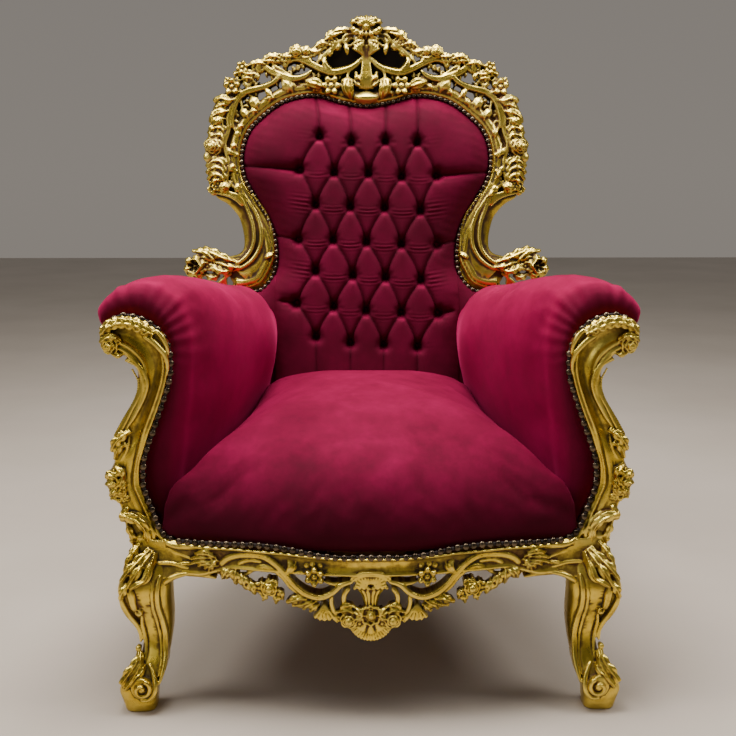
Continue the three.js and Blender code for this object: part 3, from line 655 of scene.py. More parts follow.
def back_wings():
    """The velvet that runs out over the foot of each stile, under the sweep of nails."""
    c = Carving()
    loft(c, [(-284, 648), (-284, 560), (-284, 470), (-284, 390), (-284, 314)],
         [(-186, 654), (-184, 560), (-183, 470), (-183, 390), (-183, 314)],
         lambda t, s: 1 - 7 * (1 - smooth(0, 0.25, t)) + 24 * np.sin(np.pi / 2 * s) ** 0.75 * smooth(-0.1, 0.25, t), back=-12, n=60, across=25)
    loft(c, [(-204, 706), (-208, 692), (-214, 680), (-226, 668), (-244, 658), (-266, 655), (-284, 655)],
         [(-196, 706), (-190, 690), (-187, 672), (-185, 650), (-183, 622), (-182, 590), (-182, 560)],
         lambda t, s: 1 + (23 + 4 * t) * np.sin(np.pi / 2 * s) ** 0.75 * smooth(-0.02, 0.42, t), back=-16, n=60, across=31)
    whole = Carving()
    whole.add(c)
    whole.add(c, flip=True)
    return whole


# ------------------------------------------------------------------ the back frame
def back_carving():
    half = Carving()
    c = half
    BULK[0], SOLE[0] = 1.16, -21.0
    B = ruler(190, 8, 8.2526, on_back)
    T = ruler(310, 10, 13.067, on_back)
    SS = ruler(185, 90, 7.47, on_back)

    # the board that the rim is cut from, and its undercut edge
    rim_b = [(1330, 196), (1250, 224), (1185, 262), (1110, 312), (1035, 348), (960, 374), (880, 390), (800, 414), (730, 438), (655, 448),
             (590, 466), (520, 500), (452, 540), (402, 590), (352, 652), (318, 716), (262, 778), (222, 850)]
    rim_s = [(262, 150), (240, 215), (232, 290), (226, 365), (222, 430), (226, 500), (228, 570), (232, 640), (246, 715)]
    ridge(c, B(*[(x, y, 3) for x, y in rim_b]) + SS((262, 150, 3)), [6.5, 8.5, 9.0, 9.0, 8.5, 8.5, 9.5, 9.5, 9.5, 9.0, 8.5, 9.0, 9.5, 10.5, 10.5, 9.5, 9.0, 10, 10],
          back=-23, sharp=0.5, deep=0.55)
    ridge(c, SS(*[(x, y, 3) for x, y in rim_s]), [10, 9.5, 9.5, 10.5, 11, 10, 9.5, 9.5, 8.5], back=-23, sharp=0.5, deep=0.55)
    # small fronds over it, all the way down
    line = spline(B(*[(x, y, 8) for x, y in rim_b]) + SS(*[(x, y, 8) for x, y in rim_s[1:]]), 400)
    for k in range(19):
        i0 = 6 + int(k * 20.2)
        seg_ = [tuple(line[i]) for i in (i0, i0 + 7, i0 + 15)]
        if 0 < k < 19 and k not in (7, 12, 15):
            spray(c, seg_[::-1], [7.5, 9.5, 7.0], n=3, sides=(1, -1), lean=0.95, rise=4.0, stem=0, thick=10)
    S = ruler(185, 90, 7.47, on_back)

    def one(r, x, y, f=12.0):
        return r((x, y, f))[0]

    # the blown rose at the side of the top, petals round a deep eye, and the leaves under it
    cup(c, *one(T, 612, 205, 12), 11.5, tilt=(-0.15, -0.1), petals=5, depth=0.55)
    for x, y, tx, ty, w in [(650, 250, 545, 312, 6.5), (690, 270, 640, 345, 6.0), (600, 260, 528, 236, 5.5), (580, 170, 548, 128, 5.0),
                            (625, 140, 612, 96, 5.5), (680, 150, 668, 82, 6.0), (720, 160, 735, 76, 6.5)]:
        leaf(c, T((x, y, 18), ((x + tx) / 2, (y + ty) / 2, 25), (tx, ty, 13)), [w * .6, w, w * .85, w * .35], lobes=2, h=4, thick=14)
    ridge(c, T((700, 200, 20), (690, 250, 24), (706, 300, 20)), [2.0, 3.4, 1.8], back=-10)
    # the loop that hangs from it and ends in a bud
    ridge(c, T((535, 320, 12), (480, 322, 14), (440, 352, 15), (440, 400, 15), (470, 448, 15), (520, 466, 14), (570, 440, 13), (600, 425, 12)),
          [3.0, 3.2, 3.2, 3.0, 2.8, 2.6, 2.6, 2.0], back=-12)
    bud(c, T((452, 450, 13), (480, 510, 17), (488, 592, 12)), 6.2, flutes=5)
    leaf(c, B((1120, 245, 12), (1200, 190, 15), (1290, 178, 14), (1345, 185, 10)), [3, 5.5, 6.5, 3], lobes=4, h=4, thick=13)
    leaf(c, B((1110, 265, 14), (1180, 225, 17), (1260, 200, 16)), [3, 4.6, 2], lobes=3, h=3.5, thick=12)
    ridge(c, B((1350, 240, 10), (1250, 270, 11), (1180, 330, 12), (1110, 390, 12), (1045, 455, 10)), [4, 5.4, 5.6, 5.2, 3.6], groove=0.2)
    rose(c, *one(B, 1160, 222, 13), 9.5, turn=0.4, back=22)
    daisy(c, *one(B, 1172, 286, 12), 8.5, turn=0.2, back=20)
    leaf(c, B((1150, 300, 10), (1090, 290, 15), (1030, 320, 12)), [4, 7.5, 7, 2.5], lobes=4, h=4, thick=18)
    daisy(c, *one(B, 1085, 322, 12), 7.5, turn=0.7, back=20)
    leaf(c, B((1090, 350, 10), (1030, 360, 14), (975, 345, 12)), [4, 7, 6.5, 2.5], lobes=4, h=4, thick=18)
    daisy(c, *one(B, 1012, 372, 12), 8.5, petals=6, turn=0.1, back=20)
    rose(c, *one(B, 955, 352, 13), 10.0, turn=1.0, back=22)
    leaf(c, B((1000, 400, 9), (950, 410, 13), (905, 395, 10)), [4, 6.5, 5.5, 2], lobes=3, h=4, thick=17)
    rose(c, *one(B, 876, 358, 14), 13.5, turn=0.2, back=24)
    leaf(c, B((860, 400, 10), (800, 400, 15), (745, 395, 12)), [5, 9, 8, 3], lobes=5, h=5, thick=18)
    leaf(c, B((850, 420, 9), (790, 440, 13), (750, 450, 9)), [4, 7, 6, 2], lobes=4, h=4, thick=16)
    daisy(c, *one(B, 742, 412, 13), 9.5, turn=0.5, back=20)
    leaf(c, B((760, 430, 10), (700, 400, 15), (635, 410, 13), (600, 440, 9)), [4, 8, 8, 3], lobes=5, h=5, thick=18)
    leaf(c, B((730, 455, 10), (670, 435, 14), (610, 440, 12), (555, 455, 8)), [3, 6, 6, 3], lobes=4, h=4, thick=16)
    leaf(c, B((640, 470, 8), (580, 455, 13), (520, 460, 12), (480, 480, 8)), [5, 8.5, 7.5, 3], lobes=4, h=4.5, thick=18)
    whorl(c, *one(B, 575, 495, 9), 11.0, turns=1.2, way=-1, start=0.6, back=-18)
    daisy(c, *one(B, 432, 488, 13), 12.5, petals=6, turn=0.3, back=24, high=0.6)
    leaf(c, B((540, 540, 8), (480, 545, 14), (420, 530, 13), (360, 545, 9)), [6, 10, 9, 4], lobes=4, h=5, thick=20)
    leaf(c, B((520, 590, 8), (470, 575, 14), (430, 590, 12)), [5, 8, 7, 3], lobes=3, h=4.5, thick=18)
    daisy(c, *one(B, 312, 600, 10), 8.0, turn=0.9, back=18)
    daisy(c, *one(B, 345, 648, 14), 16.5, petals=5, turn=0.35, back=26, high=0.5)
    leaf(c, B((395, 690, 6), (350, 705, 11), (300, 715, 8)), [4, 7, 7, 3], lobes=3, h=4, thick=16)
    leaf(c, B((400, 735, 8), (330, 760, 13), (260, 748, 13), (200, 775, 8)), [4, 8, 9, 3], lobes=3, h=5, thick=18)

    # the S-scrolls and branches of the crest; their sides slope out behind the face
    def branch(path, r, **more):
        ridge(c, path, r, **more)
        ridge(c, [(x, z, f - 15) for x, z, f in path], [1.55 * k for k in r], back=-27, deep=0.35, sharp=0.3)

    branch(B((1425, 405, 11), (1350, 480, 12), (1250, 520, 13), (1170, 530, 13), (1080, 500, 13), (1000, 460, 12),
               (930, 430, 12), (870, 420, 12), (815, 438, 11), (785, 475, 9), (792, 515, 6)),
          [3.6, 5.4, 6.4, 7.2, 7.4, 7.4, 7.2, 6.8, 6.2, 5.0, 3.2], groove=0.24, sharp=0.62)
    branch(B((1120, 400, 13), (1108, 440, 16), (1130, 485, 16), (1185, 522, 13)), [2.6, 5.0, 5.2, 3.0], groove=0.25)
    branch(B((595, 455, 10), (655, 510, 12), (740, 552, 13), (830, 580, 14), (900, 577, 14), (960, 552, 15), (1004, 512, 16)),
          [5.0, 7.0, 7.8, 7.6, 6.6, 5.0, 2.2], groove=0.26, sharp=0.62)
    ridge(c, B((680, 462, 12), (740, 500, 14), (800, 540, 14), (850, 560, 12)), [2.4, 3.2, 3.0, 2.4], back=-8)
    branch(B((880, 590, 8), (860, 625, 8), (868, 665, 5)), [3.4, 4.0, 4.5])
    branch(B((735, 568, 15), (690, 610, 14), (600, 652, 13), (520, 672, 13), (440, 702, 12), (382, 762, 12), (346, 850, 11),
               (330, 930, 10), (334, 990, 10)), [5.2, 5.0, 5.8, 6.6, 7.0, 7.6, 8.6, 9.2, 9.0], groove=0.26, sharp=0.62)
    ball(c, *one(B, 738, 566, 14), 5.6)
    branch(B((630, 648, 11), (650, 695, 10), (668, 745, 7)), [3.4, 4.4, 5.4])
    leaf(c, B((620, 660, 10), (650, 700, 14), (690, 742, 11)), [3, 6, 5, 2], lobes=2, h=4, thick=14)
    # leafage that fills the ground between the branches
    for path, reach, n in [
        ([(590, 480, 3), (640, 540, 5), (730, 590, 6), (700, 640, 4)], 9.0, 5),
        ([(980, 440, 4), (930, 480, 6), (860, 500, 6), (820, 540, 5)], 8.0, 5),
        ([(1090, 560, 4), (1010, 560, 6), (950, 600, 5), (900, 640, 4)], 8.0, 5),
        ([(560, 690, 3), (500, 740, 5), (470, 800, 5), (460, 870, 4)], 8.5, 5),
        ([(420, 700, 4), (360, 730, 6), (310, 800, 5), (280, 880, 4)], 9.0, 5),
        ([(1260, 560, 3), (1200, 580, 5), (1130, 600, 4)], 7.0, 3),
        ([(800, 560, 3), (830, 620, 5), (800, 680, 4)], 7.5, 3),
        ([(480, 560, 4), (520, 620, 6), (560, 640, 4)], 8.0, 3),
    ]:
        spray(c, B(*path), [reach * .8, reach, reach * .7], n=n, sides=(1, -1), lean=0.9, rise=4.0, stem=2.4, thick=12)
    for x, y, tx, ty, w in [(1300, 240, 1255, 300, 6.5), (1235, 290, 1190, 350, 6.5), (1170, 340, 1120, 400, 6.0), (1080, 380, 1060, 450, 6.0),
                            (960, 400, 985, 450, 6.0), (760, 440, 790, 500, 6.0), (680, 470, 690, 540, 6.5), (520, 520, 560, 600, 7.0), (440, 600, 480, 670, 7.0),
                            (380, 670, 430, 720, 7.0)]:
        leaf(c, B((x, y, 6), ((x + tx) / 2 + 10, (y + ty) / 2, 12), (tx, ty, 5)), [w * .7, w, w * .85, w * .35], lobes=3, h=4, thick=14)
    # buds on the inner side of the stem
    for pts, r in [([(845, 690, 8), (815, 640, 14), (762, 592, 11)], 12.5), ([(560, 830, 8), (535, 785, 13), (508, 735, 10)], 10.5),
                   ([(478, 905, 8), (455, 870, 12), (422, 838, 9)], 8.5)]:
        leaf(c, B(*pts), [r * .55, r, r * .95, r * .3], lobes=1, lobe=0.1, h=6, thick=14, rib=2.4)
        bud(c, B(*[(x, y, f + 3) for x, y, f in pts]), r * 0.5)
    ridge(c, B((420, 745, 10), (424, 800, 11), (440, 850, 10)), [2.4, 2.4, 2.4], back=-4)
    # flowers along the top of the moulding
    bud(c, B((1100, 645, 12), (1040, 622, 16), (948, 598, 12)), 13.5, flutes=7)
    leaf(c, B((1110, 660, 9), (1050, 655, 13), (985, 668, 9)), [4, 8, 7, 2], lobes=4, h=4, thick=16)
    daisy(c, *one(B, 1165, 640, 13), 19.0, petals=6, turn=0.0, back=24, high=0.38, notch=0.5)
    ridge(c, B((1350, 498, 10), (1312, 525, 13), (1300, 570, 14), (1302, 600, 12)), [2.6, 2.6, 2.8, 3.4], back=-6)
    bud(c, B((1298, 575, 12), (1302, 650, 18), (1330, 752, 10)), 14.5, flutes=7)
    for tx, ty in [(1250, 612), (1348, 612), (1300, 600)]:
        leaf(c, B((1300, 585, 14), ((1300 + tx) / 2, 592, 19), (tx, ty, 14)), [2.5, 4.5, 4, 1.5], lobes=1, h=3, thick=8)
    # the shaped side of the vase
    for tx, ty, f in [(1338, 300, 15), (1375, 330, 12), (1352, 262, 14)]:
        leaf(c, B((1440, 268, 16), ((1440 + tx) / 2, ty - 26, 20), (tx, ty, f)), [3.5, 5.5, 5, 2], lobes=2, h=3.5, thick=10)

    # shoulder: stem, inner thread, buds
    branch(S((470, 10, 13), (400, 60, 12), (350, 130, 12), (328, 200, 11), (326, 280, 11), (312, 340, 12), (296, 400, 12),
               (302, 450, 12), (320, 520, 12), (320, 600, 12), (310, 660, 12), (298, 710, 11), (300, 770, 9)),
          [5.2, 5.8, 6.6, 7.2, 6.6, 5.2, 4.4, 4.2, 4.4, 4.2, 4.2, 4.6, 4.6], groove=0.22)
    ridge(c, S((392, 150, 9), (362, 200, 10), (360, 270, 10), (392, 322, 11)), [2.6, 3.0, 3.0, 3.0], back=-10)
    ball(c, *one(S, 394, 328, 9), 6.2)
    for pts in [[(318, 430, 12), (338, 466, 13), (375, 482, 11)], [(324, 560, 12), (340, 590, 13), (374, 604, 11)]]:
        ridge(c, S(*pts), [3.6, 5.6, 3.6], back=-10)
        ball(c, *one(S, pts[-1][0], pts[-1][1], 9), 5.2)
    ridge(c, S((330, 680, 9), (355, 715, 10), (392, 735, 11)), [3.2, 3.8, 4.4])
    ball(c, *one(S, 394, 738, 10), 6.8)
    # rim of leaves and roses down the shoulder, and the leafage behind the stem
    for path, reach, n in [
        ([(400, 160, 3), (380, 230, 5), (400, 300, 4)], 7.5, 3),
        ([(300, 170, 3), (285, 260, 5), (280, 350, 4)], 8.0, 4),
        ([(345, 380, 3), (362, 430, 5), (350, 520, 4)], 6.5, 4),
        ([(272, 440, 3), (278, 520, 5), (270, 600, 4)], 8.0, 4),
        ([(350, 610, 3), (360, 660, 5), (352, 700, 4)], 6.5, 3),
    ]:
        spray(c, S(*path), [reach * .8, reach, reach * .7], n=n, sides=(1, -1), lean=0.9, rise=4.0, stem=2.4, thick=12)
    leaf(c, S((390, 60, 10), (330, 78, 15), (265, 60, 15), (212, 82, 9)), [4, 8, 9, 3], lobes=2, h=5, thick=20)
    leaf(c, S((330, 118, 9), (290, 108, 14), (225, 130, 10)), [6, 10, 9, 3], lobes=3, h=5, thick=20)
    leaf(c, S((340, 150, 9), (280, 165, 15), (215, 190, 14), (186, 245, 9)), [5, 9, 9, 3], lobes=2, h=5, thick=20)
    leaf(c, S((300, 215, 8), (262, 215, 15), (215, 262, 13), (196, 300, 8)), [5, 9, 9, 3], lobes=2, h=5, thick=20)
    rose(c, *one(S, 244, 232, 14), 12.0, turn=0.6, back=24)
    leaf(c, S((300, 330, 8), (262, 280, 15), (205, 290, 13), (176, 330, 8)), [5, 9, 9, 4], lobes=4, h=5, thick=20)
    leaf(c, S((296, 400, 8), (262, 335, 15), (205, 340, 13), (170, 382, 8)), [5, 9, 8, 4], lobes=4, h=5, thick=20)
    rose(c, *one(S, 212, 418, 13), 18.5, turn=0.3, back=26, layers=(1.0, 0.78, 0.56, 0.34), tilt=(-0.25, 0.0))
    leaf(c, S((290, 400, 9), (262, 395, 14), (232, 372, 10)), [4, 6, 5, 2], lobes=2, h=4, thick=18)
    ball(c, *one(S, 178, 500, 8), 10.5, back=16)
    rose(c, *one(S, 226, 508, 12), 9.5, turn=0.9, back=20)
    leaf(c, S((300, 600, 9), (268, 535, 16), (210, 530, 14), (160, 575, 8)), [5, 9, 9, 4], lobes=3, h=5, thick=20)
    leaf(c, S((300, 650, 9), (266, 585, 16), (208, 580, 14), (162, 625, 8)), [5, 9, 9, 4], lobes=3, h=5, thick=20)
    leaf(c, S((304, 700, 9), (268, 640, 16), (214, 632, 14), (170, 675, 8)), [5, 9, 8, 4], lobes=3, h=5, thick=20)
    leaf(c, S((300, 680, 9), (240, 672, 14), (180, 700, 8)), [5, 8, 7, 3], lobes=3, h=5, thick=20)
    daisy(c, *one(S, 234, 722, 12), 9.5, petals=6, back=22)
    rose(c, *one(S, 292, 722, 13), 11.5, turn=0.2, back=24)
    daisy(c, *one(S, 190, 742, 7), 7.0, turn=0.4, back=18)
    ball(c, *one(S, 215, 765, 6), 6.5, back=14)
    for k in range(4):
        ridge(c, S((235 + 22 * k, 770 - 6 * k, 10), (300 + 16 * k, 782 - 4 * k, 12), (370 + 12 * k, 812 - 6 * k, 12), (430 + 12 * k, 868 - 8 * k, 10)),
              [2.6, 3.2, 3.2, 2.2], back=-8)

    BULK[0], SOLE[0] = 1.0, None
    # the C-scroll of the stile
    a = S((196, 752), (232, 812), (300, 850), (352, 900), (395, 960), (420, 1040), (433, 1125), (426, 1195), (388, 1232), (335, 1246), (282, 1262))
    b = S((452, 690), (486, 770), (533, 840), (588, 915), (630, 985), (653, 1060), (664, 1150), (662, 1235), (642, 1330), (592, 1415), (520, 1470))

    def stile(t, s):
        r1 = np.interp(t, [0, .25, .45, .7, .85, 1], [.70, .52, .40, .36, .30, .20])
        out = -15 + 19 * np.clip(s / r1, 0, 1) ** 0.75
        u = np.clip((s - r1) / (1 - r1), 0, 1)
        inn = 3 + 9 * np.sin(np.pi * np.clip(u, 0, 1) ** 0.9) ** 0.8 - 2.5 * smooth(0.9, 1.0, u)
        return np.where(s < r1, out, inn)
    loft(c, a, b, stile, back=-24, n=90, across=41)
    ridge(c, S((392, 742, 12), (430, 800, 12), (470, 900, 12), (500, 980, 12), (513, 1060, 12), (512, 1130, 12), (490, 1200, 12),
               (440, 1262, 12), (378, 1302, 12), (330, 1325, 11)), [3.2, 3.6, 4.2, 4.4, 4.4, 4.4, 4.4, 4.4, 4.4, 3.4], back=-6)
    ridge(c, S((430, 768, 12), (480, 840, 12), (524, 905, 13), (552, 975, 13), (567, 1045, 13), (569, 1115, 13), (552, 1190, 13),
               (508, 1262, 13), (448, 1312, 12), (388, 1338, 12), (335, 1350, 11)), [3.0, 3.4, 4.0, 4.4, 4.4, 4.4, 4.4, 4.4, 4.2, 3.8, 3.0], back=-6)
    ridge(c, S((500, 770, 8), (560, 850, 8), (612, 930, 8), (640, 1010, 8), (655, 1100, 8), (655, 1190, 8), (640, 1290, 8), (600, 1380, 8)),
          [1.6, 2.2, 2.4, 2.4, 2.4, 2.4, 2.2, 1.6], back=-4)
    bud(c, S((660, 1215, 9), (628, 1240, 14), (590, 1252, 10)), 5.6, flutes=3)

    # the foot of the stile, where the arm meets it
    loft(c, S((335, 1262), (322, 1330), (330, 1400), (372, 1462), (430, 1490)), S((668, 1230), (662, 1330), (622, 1410), (570, 1462), (500, 1490)),
         lambda t, s: 2 + 8 * np.sin(np.pi * s) ** 0.7 * np.sin(np.pi * np.clip(t, 0, 0.93)) ** 0.3, back=-24, n=40)
    slab(c, [(-227, 292, 0), (-229, 480, 0), (-233, 604, 0), (-238, 690, 0)], [30, 30, 30, 28], -10, 26)
    # the bed under the nails where they turn out over the arm
    ridge(c, [(-208, 722, 2), (-214, 699, 3), (-226, 683, 3), (-245, 672, 3), (-270, 667, 3), (-296, 667, 3)], [8, 10, 11, 11, 10, 9], deep=0.35, back=-20)
    ridge(c, S((505, 1290, 10), (490, 1370, 11), (500, 1440, 9)), [1.4, 2.0, 1.4], back=-4)

    # the finial: leaves sweeping out to a blown rose
    ridge(c, S((400, 1315, 6), (320, 1335, 7), (240, 1322, 6), (150, 1300, 4)), [12, 13, 12, 10], back=-18, deep=0.7)
    leaf(c, S((380, 1285, 10), (290, 1255, 16), (215, 1222, 16), (140, 1172, 8)), [5, 10, 12, 4], lobes=3, h=6, thick=18)
    leaf(c, S((240, 1290, 12), (170, 1225, 18), (100, 1185, 12)), [6, 11, 10, 4], lobes=3, h=6, thick=16)
    leaf(c, S((220, 1270, 12), (130, 1215, 16), (52, 1200, 8)), [6, 10, 9, 3], lobes=3, h=5, thick=16)
    leaf(c, S((400, 1325, 12), (330, 1318, 16), (250, 1290, 15), (190, 1285, 12)), [4, 7, 8, 4], lobes=3, h=5, thick=14)
    leaf(c, S((350, 1345, 12), (280, 1355, 18), (210, 1330, 17), (160, 1340, 12)), [4, 9, 9, 4], lobes=4, h=5, thick=16)
    for k in range(4):
        ridge(c, S((350, 1352 + 8 * k, 10), (312 - 6 * k, 1376 + 10 * k, 14), (300 - 18 * k, 1420 + 12 * k, 11), (312 - 16 * k, 1462 + 12 * k, 7)),
              [2.0, 3.2, 3.4, 1.8], back=-8)
    leaf(c, S((260, 1380, 8), (200, 1400, 13), (150, 1372, 10)), [5, 10, 8, 3], lobes=3, h=5, thick=14)
    cup(c, *one(S, 76, 1312, 12), 19.0, tilt=(-0.30, 0.05), petals=5, depth=0.42)
    for deg in range(20, 380, 60):
        q = one(S, 76, 1312, 12)
        ca, sa = math.cos(math.radians(deg)), math.sin(math.radians(deg))
        leaf(c, [(q[0] + 9 * ca, q[1] + 9 * sa, 14), (q[0] + 17 * ca, q[1] + 17 * sa, 21), (q[0] + 24 * ca, q[1] + 22 * sa, 14)], [7, 11, 9, 4], lobes=1, h=5, thick=12)
    leaf(c, S((140, 1360, 12), (95, 1385, 20), (30, 1365, 18)), [8, 13, 12, 5], lobes=2, h=6, thick=10)
    leaf(c, S((150, 1340, 10), (80, 1405, 15), (5, 1345, 14)), [6, 10, 9, 4], lobes=2, h=5, thick=10)
    daisy(c, *one(S, 168, 1318, 14), 12.0, turn=0.4, back=20)
    leaf(c, S((180, 1275, 14), (150, 1250, 19), (112, 1252, 14)), [5, 8, 7, 3], lobes=2, h=4, thick=12)

    whole = Carving()
    whole.add(half)
    whole.add(half, flip=True)
    c = whole

    # the moulding round the upholstery, and its thickened shoulders
    profile = [(-17.5, 3), (-15.0, 8.5), (-10, 12.5), (-4.0, 12.8), (0.0, 10.8), (1.6, 8.6), (3.0, 10.4), (6.6, 9.4), (8.8, 5.4), (10.0, 6.2), (11.5, 2)]
    tail = [(286, 671, 0), (262, 672, 0), (238, 682, 0), (223, 704, 0)]
    full = ([(-x, z, f) for x, z, f in tail] + [(x, z, 0) for x, z in opening(13.5) if z > 728] + tail[::-1])
    moulding(c, full, profile, back=-26)
    # lobes of leaf that lie over its outer edge
    edge_ = spline([(x, z) for x, z in opening(25.0)], 420)
    near_ = spline([(x, z) for x, z in opening(16.0)], 420)
    for i in range(118, 303, 9):
        (x0, z0), (x1, z1), (xa, za) = edge_[i], near_[min(419, max(0, i + 4))], edge_[min(419, i + 3)]
        if abs(x0) > 34:
            k = 1 if i % 2 else -1
            leaf(c, [(x1, z1, 9), ((xa + x1) / 2, (za + z1) / 2, 13.5), (x0 + 0.30 * (x0 - near_[i][0]), z0 + 0.30 * (z0 - near_[i][1]), 8)],
                 [3.2, 6.4, 5.4, 2.2], lobes=2, h=3.0, thick=12)
    for sign in (-1, 1):
        loft(c, [(sign * 308, 905), (sign * 309, 950), (sign * 302, 1000), (sign * 286, 1042), (sign * 262, 1075)],
             [(sign * 276, 900), (sign * 280, 950), (sign * 268, 1000), (sign * 244, 1036), (sign * 214, 1062)],
             lambda t, s: 1.5 + 4.5 * s + 0 * t, back=-20, n=30, across=9)
    # the vase in the middle, its cup and the rose on top
    col = [(1066, 8, 6), (1076, 8, 12), (1086, 6.5, 9), (1092, 7, 10), (1096, 17, 13), (1104, 21, 16), (1114, 18.5, 16), (1126, 15.5, 15),
           (1142, 12.0, 13), (1160, 9.5, 12), (1176, 10.5, 13), (1188, 14, 16), (1198, 17, 17)]
    z = np.linspace(1064, 1199, 54)
    w, d = along([(k[0], k[1]) for k in col], z), along([(k[0], k[2]) for k in col], z)
    ang = np.linspace(0, 2 * np.pi, 72, endpoint=False)
    flute = 1 - 0.24 * (0.5 - 0.5 * np.cos(14 * ang)) ** 0.8
    rings = np.stack([w[:, None] * np.cos(ang) * flute, z[:, None] + 0 * ang, -2 + d[:, None] * np.sin(ang) * np.where(np.sin(ang) > 0, 1.1, 0.9) * flute], -1)
    c.skin(rings)
    loft(c, [(-26, 1082), (-22, 1086), (0, 1090), (22, 1086), (26, 1082)], [(-30, 1074), (-20, 1066), (0, 1062), (20, 1066), (30, 1074)],
         lambda t, s: 8 + 12 * np.sin(np.pi * np.clip(s, 0, 1)) * np.sin(np.pi * np.clip(t, 0.02, 0.98)) ** 0.5, back=-20, n=30, across=13)
    for s in (-1, 1):
        # the leaves of its flaring lip
        for dx, dz, w in [(11, 9, 4.2), (20, 7, 4.6), (28, 0, 4.6), (30, -10, 4.4)]:
            leaf(c, [(s * 7, 1172 + 0.3 * dz, 12), (s * (7 + dx * 0.5), 1184 + dz * 0.5, 21), (s * dx, 1192 + dz, 13)], [w * .7, w, w, w * .4], lobes=1, h=3.5, thick=12, rib=1.6)
        # the wings at its foot
        leaf(c, [(s * 11, 1112, 12), (s * 20, 1120, 18), (s * 23, 1132, 11)], [4, 6.5, 2.5], lobes=2, h=4, thick=14)
        leaf(c, [(s * 12, 1100, 10), (s * 22, 1106, 16), (s * 26, 1114, 9)], [3, 5.5, 2.2], lobes=2, h=4, thick=14)
    for k in range(-3, 4):
        ridge(c, [(k * 5.2, 1094, 12), (k * 4.4, 1112, 17), (k * 3.1, 1140, 14.5), (k * 2.3, 1166, 13.5), (k * 4.2, 1190, 17.5)], [1.0, 1.6, 1.4, 1.3, 1.6], back=0)
    # the middle of the top: a crown of petals, with a solid heart behind
    relief(c, 0, 1224, 4, lambda a: 27.0 - 5.0 * np.abs(np.sin(a)) + 1.2 * np.cos(9 * a), lambda k, a: 9.0 * (1 - k * k) + 0 * a, back=26, nr=8, na=60)
    for deg, ln, w in [(90, 21, 7.0), (68, 20, 6.2), (112, 20, 6.2), (46, 19, 6.0), (134, 19, 6.0), (24, 20, 5.6), (156, 20, 5.6)]:
        ca, sa = math.cos(math.radians(deg)), math.sin(math.radians(deg))
        leaf(c, [(4 * ca, 1229 + 4 * sa, 19), (ln * 0.62 * ca * 1.2, 1229 + ln * 0.62 * sa, 27), (ln * 1.35 * ca, 1229 + ln * sa, 15)],
             [w * .6, w, w * .9, w * .35], lobes=2, h=4.5, thick=18)
    rose(c, 0, 1228, 24, 10.5, turn=0.3, back=24, layers=(1.0, 0.72, 0.42))
    for s in (-1, 1):
        leaf(c, [(s * 5, 1222, 20), (s * 12, 1213, 24), (s * 15, 1203, 14)], [4, 6, 2.4], lobes=2, h=4, thick=18)
    leaf(c, [(0, 1221, 20), (0, 1213, 24), (0, 1203, 15)], [4, 5.5, 2.0], lobes=2, h=4, thick=18)
    return c


